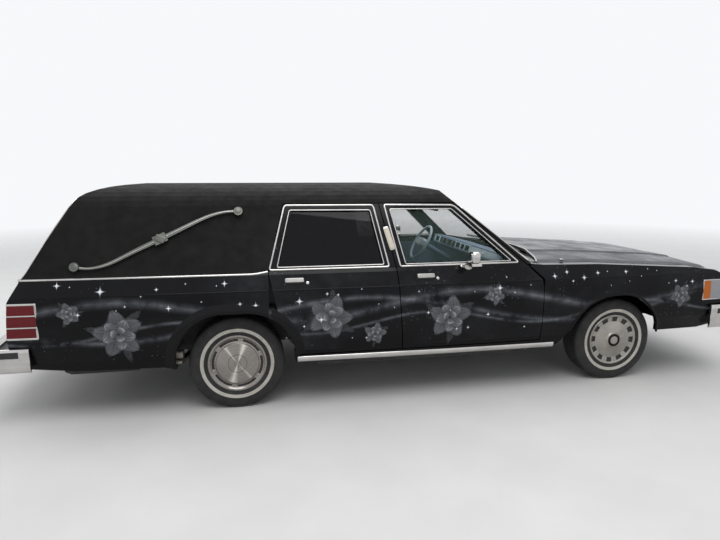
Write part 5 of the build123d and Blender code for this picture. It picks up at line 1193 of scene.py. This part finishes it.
# %% Arch lips and side crease


def arc_through(a, b, c, steps=16):
    """Circle arc through three points of the side view: the centre solves two equal distances."""
    a, b, c = (np.asarray(point, float) for point in (a, b, c))
    centre = np.linalg.solve(2 * np.array([b - a, c - a]), [b @ b - a @ a, c @ c - a @ a])
    start, end = (math.atan2(*(point - centre)[::-1]) for point in (a, c))
    turn = np.linspace(start, end if end < start else end - 2 * math.pi, steps)
    return centre + np.linalg.norm(a - centre) * np.stack([np.cos(turn), np.sin(turn)], -1)


def grown(line, by):
    """The same line moved sideways, to the left of its direction."""
    ahead = np.gradient(line, axis=0)
    ahead /= np.linalg.norm(ahead, axis=1, keepdims=True)
    return line + by * np.stack([-ahead[:, 1], ahead[:, 0]], -1)


def flare(name, low_x, high_x, low_z, body):
    """Broad raised lip: each row of the section is the arch line moved outward by b, kept between two
    x values and over a height, shared into equal steps, and lifted by n from the skin."""
    rows = []
    for away, lift in FLARE_SECTION:
        moved = grown(rear_dense, away)
        kept = moved[(moved[:, 0] > low_x) & (moved[:, 0] < high_x) & (moved[:, 1] > low_z)]
        reach = reach_of(kept)
        steps = np.linspace(0.0, reach[-1], 70)
        x, z = (np.interp(steps, reach, part) for part in kept.T)
        rows.append(on_side(x, z, lift))
    tube_mesh(f"{name}_{{}}", np.stack(rows, axis=1), flare_paint, body, sharp=50)


FLARE_SECTION = np.array([
    (-0.008, -0.002), (-0.008, 0.005), (-0.004, 0.0095), (0.006, 0.0115), (0.022, 0.0095), (0.040, 0.0050),
    (0.056, 0.0012), (0.062, -0.002),
])
DOOR_EDGE_X = -0.965
ARCH_RADIUS = 0.320
ARCH_CENTRE_Z = 0.382
ARCH_FOOT_Z = 0.345
ARCH_REACH = 0.395
ARCH_FLAT = 0.075
CREASE_Z = 0.850
diagonal = ARCH_RADIUS * math.sqrt(0.5)
top = ARCH_CENTRE_Z + ARCH_RADIUS
shoulder_x, shoulder_z = ARCH_FLAT + diagonal, ARCH_CENTRE_Z + diagonal
arch_left = arc_through((-ARCH_REACH, ARCH_CENTRE_Z), (-shoulder_x, shoulder_z), (-ARCH_FLAT, top))
arch_right = arc_through((ARCH_FLAT, top), (shoulder_x, shoulder_z), (ARCH_REACH, ARCH_CENTRE_Z))
feet = [[(x, ARCH_FOOT_Z)] for x in (-ARCH_REACH, ARCH_REACH)]
rear_line = np.concatenate([feet[0], arch_left, arch_right, feet[1]]) + (REAR_AXLE_X, 0)
rear_dense = rounded_line(grown(rear_line, 0.010), 0.0, spacing=0.003)
front_arc = arc_through((-0.425, 0.455), (-0.300, 0.625), (-0.060, 0.703))
last_arc = arc_through((-0.060, 0.703), (0.190, 0.640), (0.325, 0.455))
front_line = np.concatenate([[(-0.530, 0.338)], front_arc, last_arc[1:], [(0.338, 0.385)]]) + (FRONT_AXLE_X, 0)

flare_paint = paint_base("flare_paint", 0.12)
shader_of(flare_paint).inputs["Specular IOR Level"].default_value = 0.2
flare("rear_arch_lip", -3.0, DOOR_EDGE_X - 0.010, 0.346, "root")
flare("rear_door_arch_lip", DOOR_EDGE_X + 0.009, 3.0, 0.400, REAR_DOORS)
lip_section = half_round(0.020, 0.0050, 0.002)
skin_strip("front_arch_lip", grown(front_line, 0.010), 0.0, lip_section, finish=plain_paint)
for name, x_start, x_end, body in (
    ("quarter", -2.400, -0.985, "root"), ("rear_door", -0.925, -0.060, REAR_DOORS),
    ("front_door", -0.030, 1.010, FRONT_DOORS), ("fender", 1.045, 2.425, "root"),
):
    line = [(x_start, CREASE_Z), (x_end, CREASE_Z)]
    skin_strip(f"{name}_crease", line, 0.0, half_round(0.010, 0.0022, 0.001), body, finish=plain_paint)
print("lips and creases ready")

# %% [markdown]
# The door mirrors are cast and chromed: a rounded head on a waisted neck, which stands on a flat
# plate along the window sill.

# %% Door mirrors
MIRROR_X = 0.447
soft_block("mirror_head_{}", (MIRROR_X, 1.056, 1.045), (0.034, 0.049, 0.044), UPRIGHT, FRONT_DOORS, chrome,
           0.62, 0.55, 28, 56, replaces="mirror_{}")
turn = around(40)
along = np.linspace(0.0, 1.0, 24)
waist = 0.0125 + 0.012 * (2 * along[:, None] - 1) ** 2
centre = np.stack([MIRROR_X + 0 * along, 0.952 + 0.085 * along, 0.968 + 0.058 * along**0.6], -1)
cosine, sine = waist * np.cos(turn), waist * np.sin(turn)
rings = centre[:, None] + np.stack([1.3 * cosine, -0.35 * sine, sine], -1)
tube_mesh("mirror_neck_{}", rings, chrome, FRONT_DOORS)
foot, axes = on_skin(0.470, 0.966, 0.004)
soft_block("mirror_foot_{}", foot, (0.082, 0.010, 0.007), axes, FRONT_DOORS, chrome, 0.3, 0.3)
print("mirrors ready")

# %% [markdown]
# Inside, a pale blue dash carries black air vents, a dark instrument panel and a glove box. They
# are thin soft blocks on the sloping fascia. The steering wheel keeps its CAD ring and gets a
# padded hub.

# %% Dash and steering wheel
FASCIA_Z = 0.977
FASCIA_OUT = np.array([-0.954, 0.0, 0.298])
FASCIA_AXES = ((0, 1, 0), np.cross(FASCIA_OUT, (0, 1, 0)), FASCIA_OUT)
WHEEL_OUT = np.array([-0.8660, 0.0, 0.5])
pale_blue = moulded("pale_blue_fascia", (0.52, 0.74, 0.95), 0.4)
gauge_black = moulded("gauge_black", (0.004, 0.004, 0.006), 0.55, 200.0, 0.05)
shader_of(gauge_black).inputs["Specular IOR Level"].default_value = 0.08
gauge_ring = moulded("gauge_ring", (0.55, 0.60, 0.62), 0.4)


def fascia_place(y, lift, z=FASCIA_Z):
    """Place on the fascia, which slopes 0.312 along the car for each unit of height."""
    slope = np.array([0.312, 0.0, 1.0])
    return np.array([0.7782, y, FASCIA_Z]) + (z - FASCIA_Z) * slope + lift * FASCIA_OUT


def fascia_block(name, y, half_width, half_height, out, finish, lift=0.0, z=FASCIA_Z):
    """Soft block on the fascia."""
    soft_block(name, fascia_place(y, lift, z), (half_width, half_height, out), FASCIA_AXES, "root", finish,
               0.15, 0.15, slot="blue_plastic")


fascia_block("fascia_panel", 0.0, 0.765, 0.0315, 0.003, pale_blue)
for count, y in enumerate((0.665, 0.105, -0.115)):
    fascia_block(f"vent_frame_{count}", y, 0.052, 0.0295, 0.003, wheel_blue, 0.003)
    fascia_block(f"vent_{count}", y, 0.0445, 0.0245, 0.003, gauge_black, 0.0045)
    for row in range(3):
        z = FASCIA_Z + (row - 1) * 0.012
        fascia_block(f"vent_blade_{count}_{row}", y, 0.042, 0.0012, 0.003, rubber_trim, 0.0055, z)
fascia_block("radio", -0.005, 0.032, 0.0225, 0.004, gauge_black, 0.003)
fascia_block("gauge_hood", 0.380, 0.205, 0.0300, 0.004, dash_plastic, 0.003)
fascia_block("gauge_glass", 0.380, 0.192, 0.0240, 0.004, gauge_black, 0.0045)
for count, y in enumerate((0.250, 0.380, 0.510)):
    turn = around(48)[:, None]
    ring = fascia_place(y, 0.0085) + 0.0175 * (np.cos(turn) * FASCIA_AXES[0] + np.sin(turn) * FASCIA_AXES[1])
    rings = carried(ring, np.broadcast_to(FASCIA_OUT, ring.shape), half_round(0.0028, 0.0018, 0.002, 6), True)
    tube_mesh(f"gauge_ring_{count}", rings, gauge_ring, closed=True, sharp=None)
fascia_block("glove_box", -0.465, 0.255, 0.0250, 0.004, wheel_blue, 0.002)
fascia_block("glove_latch", -0.465, 0.020, 0.0050, 0.004, chrome, 0.006)
fascia_block("dash_bright", -0.465, 0.290, 0.0012, 0.004, chrome, 0.003, 1.0065)
soft_block("wheel_hub_pad", np.array([0.507, 0.380, 0.979]) + 0.010 * WHEEL_OUT, (0.070, 0.040, 0.016),
           ((0, 1, 0), np.cross(WHEEL_OUT, (0, 1, 0)), WHEEL_OUT), "steering_wheel", wheel_blue, 0.5, 0.4)
soft_block("inside_mirror", (0.497, 0.0, 1.335), (0.125, 0.032, 0.009),
           ((0, 1, 0), (0.2, 0, 1), (-1, 0, 0.2)), "root", pale_blue, 0.35, 0.3)
soft_block("inside_mirror_arm", (0.527, 0.0, 1.372), (0.006, 0.006, 0.038),
           ((1, 0, 0), (0, 1, 0), (0.6, 0, 0.8)), "root", satin_metal, 0.5, 1.0)
print("dash ready")

# %% [markdown]
# The bench is upholstered in two seats with sewn channels. Each cushion is a crowned closed form,
# pulled in along its seams. The doors carry padded cards with an armrest.

# %% Bench seat and door cards
SEAT_AXES = ((0, 1, 0), (-1, 0, -0.07), (-0.07, 0, 1))
BACK_AXES = ((0, 1, 0), (-0.22, 0.0, 0.975), (0.975, 0, 0.22))
CARD_AXES = ((1, 0, 0), (0, 0, 1), (0, -1, 0))
CUSHION_GRID = (260, 60)


def cushion(name, centre, half, axes, channels):
    """Cushion: a soft block whose upper side is crowned and is pulled in along sewn channels, by
    12 mm * exp(-(distance to seam / 9 mm)^2), with half sizes along its width, depth and thickness."""
    v = np.linspace(-np.pi / 2, np.pi / 2, CUSHION_GRID[1])[None, :]
    u = around(CUSHION_GRID[0])[:, None]
    ring = power_wave(np.cos(v), 0.42)
    ring[:, [0, -1]] = 0.0
    wide = half[0] * ring * power_wave(np.cos(u), 0.30)
    deep = half[1] * ring * power_wave(np.sin(u), 0.30)
    tall = half[2] * power_wave(np.sin(v), 0.42) + 0 * u
    reach = np.clip(1 - (wide / half[0]) ** 2, 0, 1) * np.clip(1 - (deep / half[1]) ** 2, 0, 1)
    pitch = 2 * half[0] / channels
    to_seam = np.abs((wide + half[0] + pitch / 2) % pitch - pitch / 2)
    sewn = 0.012 * np.exp(-(to_seam / 0.009) ** 2) * np.clip(4 * reach, 0, 1)
    tall = tall - np.where(tall > 0, 0.016 * (1 - reach) + sewn, 0.0)
    along, across, out = (np.asarray(axis, float) / np.linalg.norm(axis) for axis in axes)
    points = (np.asarray(centre, float) + wide[..., None] * along + deep[..., None] * across
              + tall[..., None] * out)
    for piece in add_piece(name, points, grid_quads(*CUSHION_GRID, True), leather, weld=True):
        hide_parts("front_seat")


cushion("seat_cushion_{}", (0.190, 0.424, 0.500), (0.232, 0.225, 0.090), SEAT_AXES, 6)
cushion("seat_back_{}", (-0.158, 0.333, 0.806), (0.322, 0.236, 0.056), BACK_AXES, 8)
cushion("seat_middle", (0.180, 0.0, 0.572), (0.185, 0.210, 0.024), SEAT_AXES, 3)
soft_block("seat_base_{}", (0.17, 0.424, 0.386), (0.200, 0.215, 0.027), UPRIGHT, "root", rubber_trim, 0.2, 0.2)
soft_block("door_card_{}", (0.490, 0.8855, 0.700), (0.400, 0.225, 0.004), CARD_AXES, FRONT_DOORS, dash_plastic,
           0.12, 0.12)
soft_block("armrest_{}", (0.420, 0.8560, 0.700), (0.190, 0.024, 0.028), CARD_AXES, FRONT_DOORS, leather,
           0.35, 0.3, slot="blue_plastic")
print("seats and cards ready")

# %% [markdown]
# The sides are airbrushed by hand, in white and grey on the black. Large open blooms take the main
# places, one within each panel, and four-pointed stars are scattered round them. The strokes are thin
# sheets on the skin, and their opacity fades to nothing at the edge, as sprayed paint does.

# %% Airbrush finish
spray = new_finish("airbrush_grey", (0.6, 0.62, 0.66), 0.25, Specular_IOR_Level=0.16)
tone, cover, _ = map_of(spray).split()
greys = (0.0, (0.004, 0.004, 0.005)), (0.45, (0.15, 0.155, 0.17)), (0.85, (0.70, 0.72, 0.77))
tone.ramp(*greys).into("Base Color")
(cover * noise(spray, 160.0, 4.0, 0.7).ramp((0.3, grey(0.72)), (0.7, grey(1.0)))).into("Alpha")

glint = new_finish("star_white", (0.85, 0.88, 0.95), 0.3, Specular_IOR_Level=0.16)
u, v, _ = map_of(glint).split()
rays = ((1.0 - (abs(u) ** 0.42 + abs(v) ** 0.42)) * 3.0).clamped()
far = map_of(glint).through("ShaderNodeVectorMath", "Value", 0, operation="LENGTH")
rays.at_least((1.0 - far * 2.6).clamped() ** 2.0).into("Alpha")
print("spray ready")

# %% Blooms and stars
PETAL_GRID = (16, 17)


def sheet_quads(count, rows, columns):
    """Quads of so many like sheets, one after another."""
    first = np.arange(count) * rows * columns
    return (grid_quads(rows, columns)[None] + first[:, None, None]).reshape(-1, 4)


def bloom(name, x, z, size, turn, body):
    """Open flower seen from the front: petals of half width size * w * sin(pi t^p), t running from
    the heart to the tip, with a light rim, a dark vein and a soft edge. Leaves lie behind it."""
    t = np.linspace(0.0, 1.0, PETAL_GRID[0])[:, None]
    v = np.linspace(-1.0, 1.0, PETAL_GRID[1])[None, :]
    cover = np.clip(3.2 * (1 - np.abs(v)), 0, 1) * np.clip(6 * (1.02 - t), 0, 1) * np.clip(8 * t + 0.2, 0, 1)
    points, tones = [], []
    leaves = [(turn + 0.3 + k * 2.1, 1.30, 0.20, 0.9, 0.30, 0.0003) for k in range(3)]
    outer = [(turn + k * 2 * math.pi / 5, 1.00, 0.40, 0.8, 0.85, 0.0006 + 0.0002 * k) for k in range(5)]
    inner = [(turn + 0.6 + k * 2 * math.pi / 5, 0.66, 0.30, 0.8, 1.10, 0.0017 + 0.0002 * k) for k in range(5)]
    heart = [(turn + 0.2 + k * 2 * math.pi / 3, 0.32, 0.20, 0.9, 1.30, 0.0028 + 0.0002 * k) for k in range(3)]
    for angle, reach, wide, power, light, lift in leaves + outer + inner + heart:
        along = size * reach * (0.04 + 0.96 * t) + 0 * v
        half = size * wide * np.sin(np.pi * (0.08 + 0.90 * t) ** power) ** 0.75
        across = half * v + size * 0.07 * np.sin(math.pi * t) * math.sin(3 * angle)
        petal_x = x + along * math.cos(angle) - across * math.sin(angle)
        petal_z = z + along * math.sin(angle) + across * math.cos(angle)
        points.append(on_side(petal_x, petal_z, lift))
        shade = (0.75 - 0.35 * v**2 + 0.10 * np.sin(9 * v + 3 * t)) * (1 - 0.45 * np.exp(-(v / 0.10) ** 2))
        rim = 0.30 * light * np.exp(-((np.abs(v) - 0.86) / 0.08) ** 2) * t
        tones.append(np.clip(light * (0.22 + 0.60 * t) * shade + rim, 0, 1))
    tones = np.stack(tones)
    add_piece(name, np.stack(points), sheet_quads(len(points), *PETAL_GRID), spray, body,
              uv=(tones, np.broadcast_to(cover, tones.shape)), sheet=True)


for name, x, z, size, turn, body in (
    ("quarter", -1.930, 0.600, 0.165, 0.5, "root"),
    ("quarter_bud", -2.220, 0.745, 0.075, 1.9, "root"),
    ("rear_door", -0.560, 0.655, 0.160, 1.2, REAR_DOORS),
    ("rear_door_bud", -0.245, 0.520, 0.085, 0.1, REAR_DOORS),
    ("front_door", 0.300, 0.610, 0.165, 0.2, FRONT_DOORS),
    ("front_door_bud", 0.640, 0.760, 0.080, 1.0, FRONT_DOORS),
    ("fender", 2.225, 0.680, 0.100, 0.9, "root"),
):
    bloom(f"bloom_{name}_{{}}", x, z, size, turn, body)

star_seed = np.random.default_rng(41)
star_map = np.meshgrid(np.linspace(-1, 1, 5), np.linspace(-1, 1, 5), indexing="ij")
for name, x_low, x_high, z_low, z_high, count, body in (
    ("quarter", -2.36, -1.02, 0.725, 0.925, 15, "root"),
    ("rear_door", -0.90, -0.10, 0.48, 0.885, 11, REAR_DOORS),
    ("front_door", 0.02, 0.98, 0.42, 0.890, 13, FRONT_DOORS),
    ("fender", 1.08, 2.38, 0.735, 0.925, 16, "root"),
):
    x = x_low + (x_high - x_low) * (np.arange(count) + star_seed.uniform(0.1, 0.9, count)) / count
    z = star_seed.uniform(z_low, z_high, count)
    size = 0.012 + 0.040 * star_seed.uniform(0, 1, count) ** 3
    u, v = (np.broadcast_to(part, (count, 5, 5)) for part in star_map)
    points = on_side(x[:, None, None] + size[:, None, None] * u, z[:, None, None] + size[:, None, None] * v, 0.0042)
    add_piece(f"stars_{name}_{{}}", points, sheet_quads(count, 5, 5), glint, body, uv=(u, v), sheet=True)
print("blooms and stars ready")

# %% [markdown]
# A few small things finish the car: the painted panel between the door and the foot of the
# windshield, a washer nozzle at the hood's edge, the silencer whose end shows by the rear wheel,
# and the rollers and rails of the deck.

# %% Fender corners, nozzles, silencers and deck
FLANK_Y = 0.800


def rod(name, start, end, radius, finish):
    """Round bar: circles P + r (cos a B + sin a N) at four places, the end ones a little smaller."""
    start, end = np.asarray(start, float), np.asarray(end, float)
    length = np.linalg.norm(end - start)
    ahead = (end - start) / length
    across = np.cross(ahead, (0.0, 0.0, 1.0) if abs(ahead[2]) < 0.9 else (1.0, 0.0, 0.0))
    across /= np.linalg.norm(across)
    turn = around(28)[:, None]
    circle = np.cos(turn) * across + np.sin(turn) * np.cross(ahead, across)
    places = np.array([0.0, 0.15 * radius, length - 0.15 * radius, length])[:, None, None]
    sizes = radius * np.array([0.85, 1.0, 1.0, 0.85])[:, None, None]
    tube_mesh(name, start + places * ahead + sizes * circle, finish)


z = np.linspace(0.790, 0.9555, 28)[:, None]
rear = np.where(z < 0.859, 1.0345, 1.0345 - (z - 0.859) * (0.117 / 0.112))
front = np.maximum(1.030 + (0.958 - z) * 1.40, rear + 0.01)
x = rear + (front - rear) * np.linspace(0.0, 1.0, 7)[None, :]
z = z + 0 * x
outer, inner = (np.stack([x, skin(x, z) - depth, z], -1) for depth in (0.0007, 0.0030))
tube_mesh("fender_corner_{}", np.concatenate([outer, inner[:, ::-1]], axis=1), side_paint)
soft_block("nozzle_{}", (1.275, 0.792, 0.9665), (0.016, 0.008, 0.006), UPRIGHT, "hood", chrome, 0.6, 0.7)
rod("silencer_{}", (-1.830, FLANK_Y, 0.388), (-1.556, FLANK_Y, 0.388), 0.036, pipe_metal)
rod("silencer_strap_{}", (-1.720, FLANK_Y, 0.418), (-1.720, FLANK_Y, 0.520), 0.008, frame_metal)
rod("tail_pipe_{}", (-1.860, 0.830, 0.341), (-1.566, 0.830, 0.341), 0.015, pipe_metal)
for count, x in enumerate(np.linspace(-2.32, -0.52, 7)):
    rod(f"deck_roller_{count}", (x, -0.300, 0.6420), (x, 0.300, 0.6420), 0.011, chrome)
rail = [(x, 0.420, 0.6400, 0, 0, 1) for x in (-2.40, -0.40)]
guided_strip("deck_rail_{}", rail, 0, half_round(0.030, 0.006, 0.001))
print("small things ready")

# %% [markdown]
# Last, the colour view is set to Standard.

# %% Colour view
bpy.context.scene.view_settings.view_transform = "Standard"
